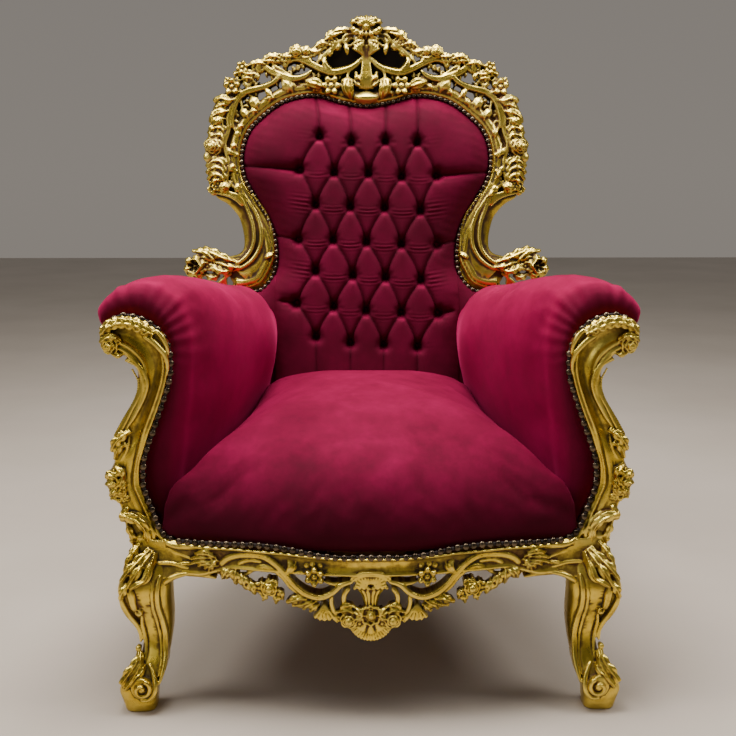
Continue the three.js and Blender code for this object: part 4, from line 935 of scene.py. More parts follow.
# ------------------------------------------------------------------ the carved arm fronts
def arm_carving():
    """The facing of the arm on the -X side."""
    c = Carving()
    A = ruler(80, 300, 8.714, on_upright)
    D = ruler(90, 440, 8.714, on_upright)

    def one(r, x, y, f=8.0):
        return r((x, y, f))[0]

    outer = A((168, 330), (176, 400), (252, 452), (345, 490), (415, 548), (474, 622), (492, 700), (490, 790), (456, 890), (398, 985),
              (343, 1085), (290, 1182), (258, 1280)) + D((186, 100), (192, 210), (140, 330), (146, 420), (200, 500), (244, 590),
              (262, 680), (294, 770), (346, 850), (350, 925))
    inner = A((170, 250), (205, 190), (292, 150), (430, 140), (570, 186), (680, 282), (752, 400), (775, 520), (764, 660), (732, 800),
              (692, 930), (650, 1050), (603, 1172)) + D((472, 90), (436, 215), (430, 325), (440, 410), (470, 490), (500, 565),
              (545, 655), (582, 745), (630, 822), (700, 890))

    def face(t, s):
        edge = -10 + 14 * smooth(0, 0.09, s) - 4 * smooth(0.95, 1.0, s)
        bead = 3.5 * np.exp(-((s - 0.16) / 0.06) ** 2) + 4.5 * np.exp(-((s - 0.30) / 0.05) ** 2)
        cove = -7.5 * np.exp(-((s - 0.55) / 0.17) ** 2)
        lip = 4.5 * np.exp(-((s - 0.80) / 0.045) ** 2) + 2.0 * np.exp(-((s - 0.93) / 0.04) ** 2)
        upper = bead + cove + lip
        lower = 1.5 * np.sin(np.pi * s) + 3.6 * np.exp(-((s - 0.84) / 0.05) ** 2) - 2.0 * np.exp(-((s - 0.74) / 0.05) ** 2)
        k = smooth(0.50, 0.62, t)
        return 4 + edge + upper * (1 - k) + lower * k
    loft(c, outer, inner, face, back=-33, n=150, across=45)

    # beads along the outer edge of the scroll
    line = spline(A((400, 530, 9), (520, 600, 9), (545, 690, 9), (533, 790, 9), (498, 880, 9), (440, 975, 9), (385, 1070, 9)), 26)
    for q in line:
        ball(c, q[0], q[1], q[2] - 1.5, 2.3, back=3)
    line = spline(A((455, 610, 8), (500, 700, 8), (500, 790, 8), (466, 885, 8), (408, 985, 8), (350, 1085, 8), (300, 1180, 8)), 30)
    for q in line:
        ball(c, q[0], q[1], q[2] - 2, 1.9, back=3)
    for k in range(2):
        ridge(c, A((405 - 6 * k, 480 + 34 * k, 10), (500, 560 + 22 * k, 11), (560 - 30 * k, 640, 11), (585 - 32 * k, 730, 11), (565 - 26 * k, 830, 10),
                   (520 - 18 * k, 930, 10), (460 - 12 * k, 1040, 10), (400, 1130, 9)), [1.6, 2.6, 3.0, 3.0, 2.8, 2.6, 2.4, 1.6], back=-4)
    # the leaf laid over the top of the scroll
    leaf(c, A((640, 300, 11), (560, 262, 16), (450, 215, 17), (330, 205, 16), (232, 250, 13), (178, 300, 8)), [5, 9.5, 10, 9.5, 8, 4],
         lobes=7, lobe=0.25, h=5, thick=12, rib=1.6)
    for x, y, tx, ty in [(610, 285, 545, 300), (540, 240, 500, 285), (470, 205, 420, 235), (390, 190, 335, 225), (315, 195, 262, 240), (250, 225, 205, 270)]:
        leaf(c, A((x, y, 12), ((x + tx) / 2 + 8, (y + ty) / 2 - 8, 17), (tx, ty, 11)), [2.5, 5, 4.4, 1.5], lobes=1, h=3.5, thick=8)
    for x, y in [(240, 175), (300, 150), (370, 140), (440, 148), (510, 166), (580, 200), (190, 230)]:
        ball(c, *one(A, x, y + 18, 8), 4.4, back=10)
    ridge(c, A((545, 315, 12), (620, 355, 13), (690, 420, 13), (742, 490, 12), (762, 580, 10), (755, 660, 9)), [3.4, 5.0, 5.0, 4.2, 3.2, 1.8], back=-4)
    ridge(c, A((650, 260, 10), (710, 320, 11), (752, 400, 11), (772, 480, 9)), [3.6, 4.6, 3.6, 2.0], back=-4)
    # the flower at the tip of the scroll
    rose(c, *one(A, 262, 398, 8), 15.5, turn=0.5, back=30, layers=(1.0, 0.74, 0.46), tilt=(-0.3, -0.15))
    leaf(c, A((350, 360, 9), (290, 325, 16), (220, 335, 13), (172, 372, 7)), [4, 7, 7, 3], lobes=2, h=4, thick=12)
    leaf(c, A((372, 470, 7), (330, 486, 12), (275, 470, 10)), [3, 5, 5, 2], lobes=2, h=3, thick=12)
    # the leaf where the beads end
    leaf(c, A((440, 1140, 9), (372, 1180, 14), (312, 1240, 15), (276, 1320, 9)), [4, 9, 9, 3], lobes=3, h=5, thick=14)
    leaf(c, A((400, 1250, 9), (340, 1290, 14), (300, 1390, 9)), [4, 7, 6, 2], lobes=2, h=4, thick=12)
    whorl(c, *one(A, 334, 1296, 9), 8.0, turns=1.0, way=1, start=2.6, back=-10)
    ridge(c, A((430, 1190, 8), (420, 1260, 9), (380, 1360, 9), (330, 1430, 8)), [1.6, 2.4, 2.4, 1.4], back=-4)

    # the cluster of roses
    for x, y, tx, ty, w in [(300, 330, 225, 222, 7.5), (250, 330, 150, 296, 7), (230, 380, 138, 384, 7), (260, 400, 300, 300, 6),
                            (270, 420, 312, 372, 6), (230, 430, 176, 486, 6)]:
        leaf(c, D((x, y, 10), ((x + tx) / 2, (y + ty) / 2, 19), (tx, ty, 12)), [3.5, w, w, 2.5], lobes=2, h=5, thick=12)
    rose(c, *one(D, 214, 378, 13), 13.5, turn=0.2, back=26, tilt=(-0.15, 0.1))
    rose(c, *one(D, 180, 312, 11), 10.5, turn=0.9, back=24, tilt=(-0.2, 0.1))
    rose(c, *one(D, 268, 448, 11), 11.0, turn=0.5, back=24)
    daisy(c, *one(D, 206, 490, 9), 8.0, turn=0.2, back=20)
    daisy(c, *one(D, 306, 506, 9), 7.5, turn=0.6, back=20)
    ball(c, *one(D, 256, 526, 8), 5.0, back=14)
    ball(c, *one(D, 312, 604, 9), 6.0, back=14)
    ball(c, *one(D, 190, 440, 9), 5.0, back=14)
    # the scrolled leaf below it
    leaf(c, D((268, 640, 10), (330, 668, 17), (410, 702, 18), (478, 768, 15), (506, 868, 12), (490, 960, 8)), [7, 10, 9, 8, 6, 3],
         lobes=4, lobe=0.22, h=6, thick=14)
    rose(c, *one(D, 296, 672, 12), 9.5, turn=0.3, back=22)
    ridge(c, D((350, 610, 8), (430, 650, 10), (500, 712, 11), (545, 800, 11), (562, 900, 10), (555, 985, 8)), [2.0, 3.6, 4.2, 4.0, 3.2, 2.0], back=-4)
    relief(c, *one(D, 444, 850, 7), lambda a: 9.5 + 0 * a, lambda k, a: 7.0 * np.sqrt(np.maximum(0, 1 - k * k)) + 0 * a, back=18, nr=9, na=30)
    leaf(c, D((330, 720, 9), (340, 780, 14), (372, 850, 13), (376, 910, 9)), [4, 6.5, 6, 3], lobes=3, h=4, thick=12)
    return c


# ------------------------------------------------------------------ the cabriole legs
LEG = [(0, -425, -372, -34, 25), (18, -429, -370, -36, 27), (40, -434, -368, -37, 28), (58, -424, -362, -34, 26), (84, -404, -353, -22, 23),
       (112, -396, -348, -8, 24), (140, -398, -345, 0, 28), (162, -412, -344, 0, 31), (188, -432, -344, -4, 35), (212, -437, -344, -5, 37),
       (240, -424, -343, 0, 34), (268, -414, -342, 7, 28), (288, -413, -342, 12, 23), (300, -412, -342, 15, 18)]


def leg_front(z):
    k = np.array(LEG, float)
    return eased(list(zip(k[:, 0], k[:, 4] - k[:, 3])), z)


def on_leg(px, py, lift=3.0):
    z = 150.0
    for _ in range(8):
        x, z, f = on_upright(px, py, float(leg_front(np.clip(z, 0, 300))) + lift)
    return (x, z, f)


def leg_carving():
    """The front leg on the -X side."""
    c = Carving()
    L = ruler(95, 560, 9.225, on_leg)
    D = ruler(90, 440, 8.714, on_leg)

    def one(r, x, y, f=3.0):
        return r((x, y, f))[0]

    k = np.array(LEG, float)
    z = np.concatenate([[0.0, 0.6], np.linspace(2, 299.6, 100)])
    col = lambda i: eased(list(zip(k[:, 0], k[:, i])), z)
    xo, xi, cy, hd = col(1), col(2), col(3), col(4)
    shrink = np.where(z < 1, 0.97, 1.0)
    a = np.linspace(0, 2 * np.pi, 64, endpoint=False)
    n = 0.62
    cx, hx = (xo + xi) / 2, (xi - xo) / 2 * shrink
    sc = np.sign(np.cos(a)) * np.abs(np.cos(a)) ** n
    ss = np.sign(np.sin(a)) * np.abs(np.sin(a)) ** n
    rings = np.stack([cx[:, None] + hx[:, None] * sc[None], z[:, None] + 0 * a[None], -(cy[:, None]) + (hd * shrink)[:, None] * ss[None]], -1)
    c.skin(rings)

    # the moulded edge down the inner side, and the groove beside it
    ridge(c, L((598, 150, 1), (578, 240, 1), (572, 330, 1), (584, 440, 1), (622, 560, 1), (648, 680, 1), (650, 800, 1), (646, 920, 1),
               (620, 1050, 1), (590, 1150, 1)), [2.8, 4.2, 4.6, 4.8, 5.0, 5.0, 4.8, 4.4, 3.6, 2.0], back=20, groove=0.15)
    ridge(c, L((536, 190, 0), (522, 320, 0), (534, 450, 0), (574, 580, 0), (604, 700, 0), (612, 830, 0), (606, 950, 0), (580, 1080, 0)),
          [1.2, 1.8, 2.0, 2.0, 2.0, 2.0, 1.8, 1.0], back=20)
    # the outer edge, rolled over into a small scroll
    ridge(c, L((300, 250, 1), (330, 330, 1), (352, 420, 2), (372, 476, 3)), [6.5, 7.0, 6.0, 4.6], back=18, groove=0.2)
    whorl(c, *one(L, 404, 490, 3), 7.0, turns=1.1, way=-1, start=1.9, back=20)
    ridge(c, L((430, 520, 0), (436, 600, 0), (462, 700, 0), (470, 810, 0), (462, 920, 0)), [2.4, 3.2, 3.0, 2.6, 1.6], back=20)
    ridge(c, L((230, 330, -2), (262, 430, 0), (318, 520, 0), (384, 600, 0), (420, 680, 0), (422, 760, 0)), [3.5, 5.0, 5.2, 4.6, 3.8, 2.4], back=15)
    # the lip that comes down the arm and turns towards the rail
    ridge(c, D((556, 720, 3), (585, 790, 5), (622, 848, 8), (668, 892, 10)), [3.0, 4.4, 4.8, 4.4], back=5)
    loft(c, [(-402, 298, 0), (-380, 298, 0), (-350, 296, 0), (-322, 296, 0), (-298, 297, 0)], [(-418, 246, 0), (-388, 240, 0), (-354, 234, 0), (-324, 237, 0), (-300, 240, 0)],
         lambda t, s: (12 + 20 * t ** 1.25) * (1 - s) + (33 - 1 * t) * s - 3.5 * np.sin(np.pi * s), back=-4, n=60, across=25)
    ridge(c, [(-356, 222, 31), (-347, 230, 33), (-334, 237, 33), (-316, 241, 32), (-300, 243, 31)], [4.0, 5.0, 4.6, 3.4, 2.2], back=8)
    for pts, r in [([(-404, 264, 20), (-376, 278, 17), (-344, 279, 20), (-314, 271, 27), (-288, 262, 34), (-268, 258, 38)], 3.4),
                   ([(-392, 246, 28), (-368, 257, 25), (-342, 258, 26), (-316, 252, 29), (-296, 247, 33)], 3.2)]:
        ridge(c, pts, [r * .7] + [r] * (len(pts) - 2) + [r * .5], back=4, groove=0.25)
    # the leaf on the knee
    leaf(c, D((520, 950, 4), (420, 1055, 10), (330, 1150, 12), (262, 1240, 6)), [5, 9, 8.5, 3], lobes=3, h=5, thick=16)
    leaf(c, D((548, 965, 4), (460, 1085, 10), (385, 1190, 12), (322, 1290, 7)), [5, 8.5, 8, 3], lobes=3, h=5, thick=16)
    leaf(c, D((566, 985, 4), (520, 1120, 9), (478, 1222, 12), (405, 1262, 12), (345, 1300, 7)), [4, 7, 7.5, 6.5, 3], lobes=2, h=5, thick=14)
    ridge(c, D((585, 990, 3), (560, 1070, 4), (520, 1160, 5), (492, 1232, 4)), [2.2, 3.4, 3.2, 1.8], back=12)
    ridge(c, D((470, 1000, 4), (400, 1090, 8), (330, 1190, 8)), [2, 2.8, 1.6], back=12)
    leaf(c, D((440, 900, 4), (372, 985, 9), (320, 1085, 8), (300, 1150, 4)), [4, 7, 6, 3], lobes=3, h=4, thick=14)
    for x, y, r in [(364, 878, 4.4), (398, 930, 4.6), (358, 968, 4.2), (352, 1042, 4.8), (404, 985, 3.8)]:
        ball(c, *one(D, x, y, 5), r, back=10)
    leaf(c, L((300, 215, 6), (258, 290, 9), (232, 372, 4)), [4, 8, 4], lobes=2, h=4, thick=14)
    # ankle leaf and foot scroll
    ball(c, *one(L, 402, 814, 4), 5.4, back=10)
    leaf(c, L((412, 835, 3), (388, 930, 9), (318, 1040, 10), (236, 1150, 4)), [4, 9, 10.5, 5], lobes=3, h=5, thick=16)
    leaf(c, L((430, 850, 3), (420, 950, 8), (372, 1050, 9), (270, 1205, 4)), [3.5, 7.5, 8, 3], lobes=2, h=5, thick=14)
    leaf(c, L((448, 960, 3), (440, 1020, 7), (380, 1080, 9), (318, 1160, 5)), [3, 6.5, 7, 3], lobes=2, h=4, thick=12)
    for kx in range(3):
        ridge(c, L((412 - 26 * kx, 900 + 34 * kx, 6), (362 - 26 * kx, 1000 + 34 * kx, 9), (290 - 18 * kx, 1110 + 30 * kx, 7)), [1.6, 2.6, 1.6], back=14)
    whorl(c, *one(L, 432, 1194, 4), 19.0, turns=1.35, way=-1, start=1.35, w=0.24, rise=6, back=26)
    ridge(c, L((500, 960, 1), (536, 1060, 2), (556, 1150, 3), (545, 1240, 3), (495, 1292, 3), (420, 1300, 3)), [2.2, 3.6, 4.2, 4.2, 3.8, 2.6], back=26)
    return c


# ------------------------------------------------------------------ the bowed front rail and its pierced apron
def apron_carving():
    half = Carving()
    c = half
    R = ruler(160, 530, 6.817, on_bow)

    def one(x, y, f=14.0):
        return R((x, y, f))[0]

    # the big scroll that carries the apron
    ridge(c, R((404, 300, 12), (402, 262, 13), (428, 218, 14), (482, 184, 15), (580, 168, 15), (700, 182, 15), (792, 240, 16), (860, 312, 16),
               (920, 382, 16), (1000, 440, 17), (1090, 462, 17), (1172, 432, 17), (1240, 376, 16), (1320, 352, 14)),
          [4.5, 5.2, 5.8, 6.0, 5.8, 5.6, 5.6, 5.6, 5.6, 5.6, 5.2, 4.8, 4.4, 3.4], back=-16, groove=0.22)
    whorl(c, *one(446, 292, 12), 11.5, turns=1.15, way=-1, start=2.2, w=0.26, rise=4, back=-14)
    ridge(c, R((520, 282, 12), (536, 232, 13), (590, 206, 14), (660, 210, 14), (706, 222, 12)), [3.0, 4.2, 4.4, 3.6, 2.2], back=-14)
    ridge(c, R((586, 305, 12), (640, 268, 14), (706, 250, 15), (768, 268, 15), (836, 322, 15), (896, 396, 14), (958, 440, 13)),
          [3.2, 4.0, 4.2, 4.2, 4.0, 3.6, 2.6], back=-14)
    # lobes of the leaf along the lower edge
    for x, y, tx, ty, w in [(505, 262, 452, 328, 7.5), (520, 258, 520, 366, 10), (560, 288, 590, 402, 10), (600, 330, 650, 436, 9), (470, 250, 424, 330, 7)]:
        leaf(c, R((x, y, 10), ((x + tx) / 2 - 6, (y + ty) / 2, 18), (tx, ty, 10)), [w * .6, w, w * .85, w * .35], lobes=2, h=5, thick=18)
    # the bunch of flowers
    rose(c, *one(742, 398, 15), 14.0, turn=0.3, back=26)
    for x, y, r, t in [(690, 376, 8.5, 0.2), (780, 360, 7.5, 0.8), (706, 432, 8.0, 0.5), (786, 432, 8.0, 0.1), (744, 350, 6.5, 0.4), (670, 400, 7.0, 0.0)]:
        daisy(c, *one(x, y, 13), r, turn=t, back=24)
    leaf(c, R((770, 430, 10), (792, 462, 14), (790, 500, 8)), [4, 7, 2.5], lobes=2, h=4, thick=16)
    leaf(c, R((720, 420, 10), (716, 455, 13), (700, 478, 8)), [4, 6, 2], lobes=2, h=4, thick=16)
    leaf(c, R((800, 395, 10), (826, 430, 14), (838, 476, 9)), [3, 6, 2], lobes=2, h=4, thick=16)
    leaf(c, R((660, 350, 10), (650, 385, 14), (652, 428, 8)), [3, 6, 2.5], lobes=2, h=4, thick=16)
    # the bud and the six-petalled flower between rail and scroll
    bud(c, R((862, 305, 12), (890, 250, 16), (872, 196, 12)), 7.5, flutes=3)
    leaf(c, R((862, 300, 11), (912, 262, 15), (925, 215, 10)), [2.5, 5, 2], lobes=1, h=4, thick=12)
    daisy(c, *one(1052, 316, 15), 17.5, petals=6, turn=0.52, back=30, high=0.46, notch=0.42)
    for x, y, r in [(1040, 232, 4.6), (1092, 240, 4.4), (1000, 240, 4.4)]:
        ball(c, *one(x, y, 12), r, back=20)
    ridge(c, R((1120, 352, 13), (1175, 368, 14), (1240, 362, 13)), [2.4, 3.0, 2.6], back=-12)
    ridge(c, R((965, 438, 13), (940, 420, 14), (925, 372, 12)), [2.5, 3.0, 1.6], back=-10)
    # leaves under the scroll
    leaf(c, R((1010, 462, 11), (940, 468, 16), (862, 492, 10)), [4, 8.5, 3.5], lobes=3, h=5, thick=18)
    leaf(c, R((1040, 470, 11), (985, 500, 16), (900, 515, 9)), [4, 7.5, 3], lobes=3, h=4, thick=18)
    leaf(c, R((1070, 480, 11), (1020, 505, 15), (972, 540, 8)), [3.5, 7, 3], lobes=2, h=4, thick=18)
    leaf(c, R((1085, 500, 11), (1055, 525, 15), (1022, 556, 8)), [3.5, 6.5, 3], lobes=2, h=4, thick=18)
    fan(c, *one(1120, 490, 8), 30.0, math.radians(232), math.radians(310), flutes=5, high=6, inner=0.1, back=20)
    ridge(c, R((1172, 440, 14), (1168, 500, 13), (1190, 560, 12), (1215, 600, 10)), [3.4, 3.8, 3.6, 2.6], back=-14)
    ridge(c, R((1292, 392, 13), (1258, 440, 14), (1252, 520, 13)), [4.6, 4.4, 3.4], back=-14)
    leaf(c, R((1230, 520, 11), (1262, 512, 15), (1330, 520, 11)), [3, 5, 2.5], lobes=2, h=4, thick=16)
    leaf(c, R((1330, 560, 11), (1270, 546, 16), (1205, 560, 11)), [3, 6, 3], lobes=3, h=4, thick=16)
    # the rose beside the middle
    rose(c, *one(1286, 614, 14), 15.0, turn=0.2, back=28)
    daisy(c, *one(1338, 640, 12), 8.0, turn=0.3, back=22)
    daisy(c, *one(1208, 604, 11), 7.0, turn=0.9, back=22)
    ball(c, *one(1366, 606, 12), 5.0, back=20)
    # the spray of leaves on the rail near the leg
    for x, y, tx, ty, w in [(330, 150, 262, 142, 4.5), (320, 165, 232, 160, 5), (325, 182, 205, 196, 5.5), (330, 200, 190, 236, 5),
                            (345, 222, 255, 246, 5), (350, 180, 290, 158, 4), (362, 235, 300, 262, 4.5)]:
        leaf(c, R((x + 30, y + 6, 16), ((x + tx) / 2 + 8, (y + ty) / 2 - 4, 21), (tx, ty, 17)), [2.4, w, w * .8, 1.4], lobes=2, h=3, thick=7)
    leaf(c, R((392, 200, 15), (350, 236, 20), (330, 285, 14)), [4, 8, 3], lobes=3, h=4, thick=12)

    whole = Carving()
    whole.add(half)
    whole.add(half, flip=True)
    c = whole
    # the rail itself: deep at the ends, narrow over the piercings
    xs = np.linspace(-351, 351, 61)
    low = np.where(np.abs(xs) > 240, 237 + 0 * xs, 0)
    low = 237 + 21 * smooth(300, 225, np.abs(xs))

    def rail(t, s):
        return (13 + 6.0 * np.exp(-((s - 0.10) / 0.07) ** 2) + 3.0 * smooth(0.02, 0.12, s) - 2.5 * np.exp(-((s - 0.5) / 0.22) ** 2)
                + 2.8 * np.exp(-((s - 0.9) / 0.08) ** 2) - 4 * smooth(0.95, 1.0, s))
    high = along([(0, 293.0), (50, 293.0), (103, 295.5), (140, 298.5), (200, 299.0), (352, 299.0)], np.abs(xs))
    a = [(float(x), float(z), 0) for x, z in zip(xs, high)]
    b = [(float(x), float(z), 0) for x, z in zip(xs, low)]
    loft(c, a, b, rail, back=-22, n=180, across=23)
    # a scooped shoulder where rail meets leg: the lip that comes down the arm sweeps into the rail
    lip = [tuple(one(x, y, f)) for x, y, f in [(22, 62, 17), (56, 96, 18), (102, 112, 18.5), (160, 119, 18), (225, 121, 17), (300, 118, 15)]]
    for s in (-1, 1):
        ridge(c, [(-s * x, z, f) for x, z, f in lip], [3.6, 4.4, 4.4, 4.0, 3.2, 1.8], back=0)
    for s in (-1, 1):
        ridge(c, [(s * 350, 238, 14), (s * 338, 250, 15), (s * 318, 259, 16), (s * 296, 262, 17)], [2.2, 3.0, 3.0, 1.6], back=0)
        ridge(c, [(s * 348, 241, 13), (s * 320, 239, 14), (s * 288, 240, 14), (s * 262, 238, 13)], [2.6, 3.4, 3.4, 2.4], back=-10)
    # the middle: a shell over a vase, a ring round a rosette, a fringe
    fan(c, 0, 236, 12, 26.0, math.radians(12), math.radians(168), flutes=13, high=5, inner=0.35, back=22)
    for k, w in enumerate((30, 34)):
        ridge(c, [(-w, 250 + 4 * k, 15), (-w * .6, 259 + 4 * k, 17), (0, 262 + 4 * k, 18), (w * .6, 259 + 4 * k, 17), (w, 250 + 4 * k, 15)],
              [1.8, 2.6, 2.8, 2.6, 1.8], back=-8)
    for x in np.linspace(-27, 27, 8):
        ball(c, float(x), 238.5, 15, 2.9, back=12)
    z = np.linspace(188, 238, 26)
    w = along([(188, 13), (200, 12.5), (212, 13.5), (224, 17), (232, 24), (238, 27)], z)
    ang = np.linspace(0, 2 * np.pi, 60, endpoint=False)
    fl = 1 - 0.16 * (0.5 - 0.5 * np.cos(14 * ang))
    c.skin(np.stack([w[:, None] * np.cos(ang) * fl, z[:, None] + 0 * ang, 4 + 12 * np.sin(ang) * fl + 0 * z[:, None]], -1))
    relief(c, 0, 190, 12, lambda a: 18.5 + 1.4 * np.cos(8 * a), lambda k, a: 6 * np.exp(-((k - 0.86) / 0.12) ** 2) + 2 * k * 0 + 0 * a, back=28, nr=12, na=64)
    rose(c, 0, 190, 12, 11.5, turn=0.1, back=20)
    for s in (-1, 1):
        for dx, dz in [(24, 6), (26, -6), (20, 14)]:
            leaf(c, [(s * 12, 190, 12), (s * (12 + dx * .4), 190 + dz * .7, 17), (s * (dx + 6), 190 + dz, 11)], [3, 6, 5, 2], lobes=2, h=4, thick=18)
    fan(c, 0, 182, 8, 36.0, math.radians(205), math.radians(335), flutes=15, high=6, inner=0.45, back=18)
    fan(c, 0, 186, 10, 26.0, math.radians(212), math.radians(328), flutes=3, high=5, inner=0.5, back=18)
    return c


# ------------------------------------------------------------------ the buttoned back
BUTTON_ROWS = [
    [(320, 137), (351.5, 143), (385.5, 142), (417, 143)],
    [(300, 170), (334.5, 173), (368.5, 174), (401.5, 177), (436, 176)],
    [(316, 205), (350.5, 207), (384.5, 208), (420, 211)],
    [(299, 240), (333.5, 240), (366.5, 242), (401, 244), (436.5, 245)],
    [(316, 271), (353, 275), (385.5, 277), (420.5, 280)],
    [(297, 303), (334, 306), (366, 310), (401, 312), (437.5, 313)],
    [(316.5, 336), (350.5, 342), (383.5, 344), (417, 346)],
]
BUTTON_DEPTH = 14.0


def buttons():
    return [[on_back(x, y, BUTTON_DEPTH)[:2] for x, y in row] for row in BUTTON_ROWS]


def outline(n):
    """The inner edge of the moulding, closed, clockwise from the lower left."""
    return spline([(x, z) for x, z in opening(-3.0)], n)


def to_segments(path):
    p = np.array(path, float)
    return list(zip(p[:-1], p[1:]))


def near(x, z, segs):
    """Distance to a run of segments and how far along the run the nearest point is (0..1)."""
    best = np.full(x.shape, 1e9)
    where = np.zeros(x.shape)
    n = len(segs)
    for i, (a, b) in enumerate(segs):
        d = b - a
        t = np.clip(((x - a[0]) * d[0] + (z - a[1]) * d[1]) / max(d @ d, 1e-9), 0, 1)
        q = np.hypot(x - a[0] - t * d[0], z - a[1] - t * d[1])
        better = q < best
        best = np.where(better, q, best)
        where = np.where(better, (i + t) / n, where)
    return best, where


def bow(a, b, push, n=5):
    """A slightly arched path from a down to b."""
    a, b = np.array(a), np.array(b)
    m = (a + b) / 2 + np.array([math.copysign(push, b[0] - a[0]), push * 0.9])
    t = np.linspace(0, 1, n)[:, None]
    return (1 - t) ** 2 * a + 2 * t * (1 - t) * m + t * t * b


def tufted(x, z):
    """Height of the buttoned cover over the plane of the back, and the painted shade of its creases and button holes.
    """
    rim = to_segments(outline(150))
    d, _ = near(x, z, rim)
    low = smooth(712, 655, z)
    plain = 1 - low * smooth(26, 4, d)
    d = d + 27.0 * low          # below the sweep of nails the cover runs on over the foot of the stile
    base = 2.0 + 44.0 * (1 - np.exp(-(d / 30.0) ** 1.1))
    rows = buttons()
    valley = np.zeros_like(x)
    thin = np.zeros_like(x)
    dark = np.zeros_like(x)

    def crease(path, wide, deep, ends=(1.0, 1.0), mid=0.6, width=9.5):
        nonlocal valley, thin, dark
        q, t = near(x, z, to_segments(path))
        a = mid + (ends[0] - mid) * np.clip(1 - 2 * t, 0, 1) ** 1.6 + (ends[1] - mid) * np.clip(2 * t - 1, 0, 1) ** 1.6
        valley = np.maximum(valley, wide * a * np.exp(-(q / width) ** 1.25))
        thin = np.maximum(thin, deep * a * np.exp(-(q / 2.7) ** 1.3))
        # painted shade along the crease
        dark = np.maximum(dark, np.clip(0.62 * a, 0, 1) * np.exp(-(q / 2.9) ** 1.6))

    top = outline(400)
    for r in range(len(rows) - 1):
        for a in rows[r]:
            for b in rows[r + 1]:
                if abs(a[0] - b[0]) < 58:
                    crease(bow(a, b, 8.0, 7), 0.10, 3.6, (1.35, 1.35), 0.85, 7.5)
    for k, a in enumerate(rows[0]):
        up = top[(np.abs(top[:, 0] - (a[0] * 1.05)) < 6) & (top[:, 1] > 1000)]
        end = up[0] if len(up) else (a[0], 1070)
        crease([a, (a[0] * 1.02, (a[1] + end[1]) / 2), tuple(end)], 0.10, 5.0, (1.2, 0.8), 0.8, 6.0)
    for a in rows[-1]:
        crease([a, (a[0], 300)], 0.14, 2.4, (1.0, 0.3), 0.6, 10.0)
    for r in (1, 3, 5):
        for i, s in ((0, -1), (-1, 1)):
            a = rows[r][i]
            near_side = top[np.abs(top[:, 1] - a[1]) < 8]
            xs = near_side[:, 0].min() if s < 0 else near_side[:, 0].max()
            crease([a, ((a[0] + xs) / 2, a[1] + 5), (xs, a[1] + 8)], 0.30, 5.5, (1.2, 0.9), 0.8, 11.0)
    valley, thin, dark = valley * plain, thin * plain, dark * plain
    h = base * (1 - valley) - thin
    # gathers lying across between the buttons of a row, like a shallow smile
    for row, amount in zip(rows[1:6], (0.7, 1.25, 1.3, 1.1, 0.7)):
        for (ax, az), (bx, bz) in zip(row, row[1:]):
            mx, mz = (ax + bx) / 2, (az + bz) / 2
            u = (x - mx) / (abs(bx - ax) / 2)
            zz = z - mz + 6.0 * (1 - u * u) + 2.0
            h = h + amount * np.sin(2 * np.pi * zz / 7.4 + ax) * np.exp(-(zz / 8.5) ** 2) * np.exp(-np.abs(u / 0.74) ** 3)
    # pulls running out to the sides
    for row, amount in zip(rows, (0.12, 0.25, 1.2, 0.3, 1.2, 0.3, 0.1)):
        for (bx, bz), s in ((row[0], -1), (row[-1], 1)):
            u = (x - bx) * s
            zz = z - bz - 0.12 * u
            h = h + amount * plain * np.sin(2 * np.pi * zz / 9.0 + bz) * np.exp(-(zz / 17.0) ** 2) * smooth(4, 16, u) * smooth(70, 24, u)
    # the buttons pull the cover right in, with a long slope above and a short one below
    for row in rows:
        for bx, bz in row:
            dx, dz = x - bx, z - bz
            rr = np.hypot(dx, dz)
            ang = np.arctan2(dz, dx)
            h = h + (0.4 if bz > rows[-1][0][1] + 20 else 0.1) * np.cos(9 * ang + bx) * np.exp(-((rr - 15) / 8.0) ** 2)
            r = np.hypot(dx / 9.0, np.where(dz > 0, dz / 12.0, dz / 8.0))
            pull = np.exp(-r ** 1.8)
            # painted shade in the button hole
            dark = np.maximum(dark, np.exp(-(0.85 * r) ** 3))
            h = h * (1 - pull) + 7.0 * pull
    # faint pulls towards the nailed edge
    edge_wave = np.sin(0.33 * (x * 0.35 + z) + 1.3 * np.sin(0.045 * x)) * np.exp(-((d - 24) / 22.0) ** 2)
    h = h + 0.2 * edge_wave
    return np.maximum(h, -4), dark


def button_heads():
    """The covered buttons at the bottom of the tufts."""
    V, F = [], []
    lv = [(1.0, -3.0), (1.0, 0.4), (0.92, 1.9), (0.72, 3.1), (0.40, 3.9)]
    m = 16
    for row in buttons():
        for bx, bz in row:
            base = len(V)
            for fr, h in lv:
                for j in range(m):
                    t = 2 * math.pi * j / m
                    V.append((bx + 6.6 * fr * math.cos(t), bz + 6.6 * fr * math.sin(t), 8.0 + h))
            V.append((bx, bz, 12.2))
            V.append((bx, bz, 5.0))
            for i in range(len(lv) - 1):
                for j in range(m):
                    F.append((base + i * m + j, base + i * m + (j + 1) % m, base + (i + 1) * m + (j + 1) % m, base + (i + 1) * m + j))
            hi, lo = base + len(lv) * m, base + len(lv) * m + 1
            for j in range(m):
                F.append((base + (len(lv) - 1) * m + j, base + (len(lv) - 1) * m + (j + 1) % m, hi))
                F.append((base + (j + 1) % m, base + j, lo))
    return outward(mesh_object("back_buttons", to_row(bend_back(np.array(V))), F))


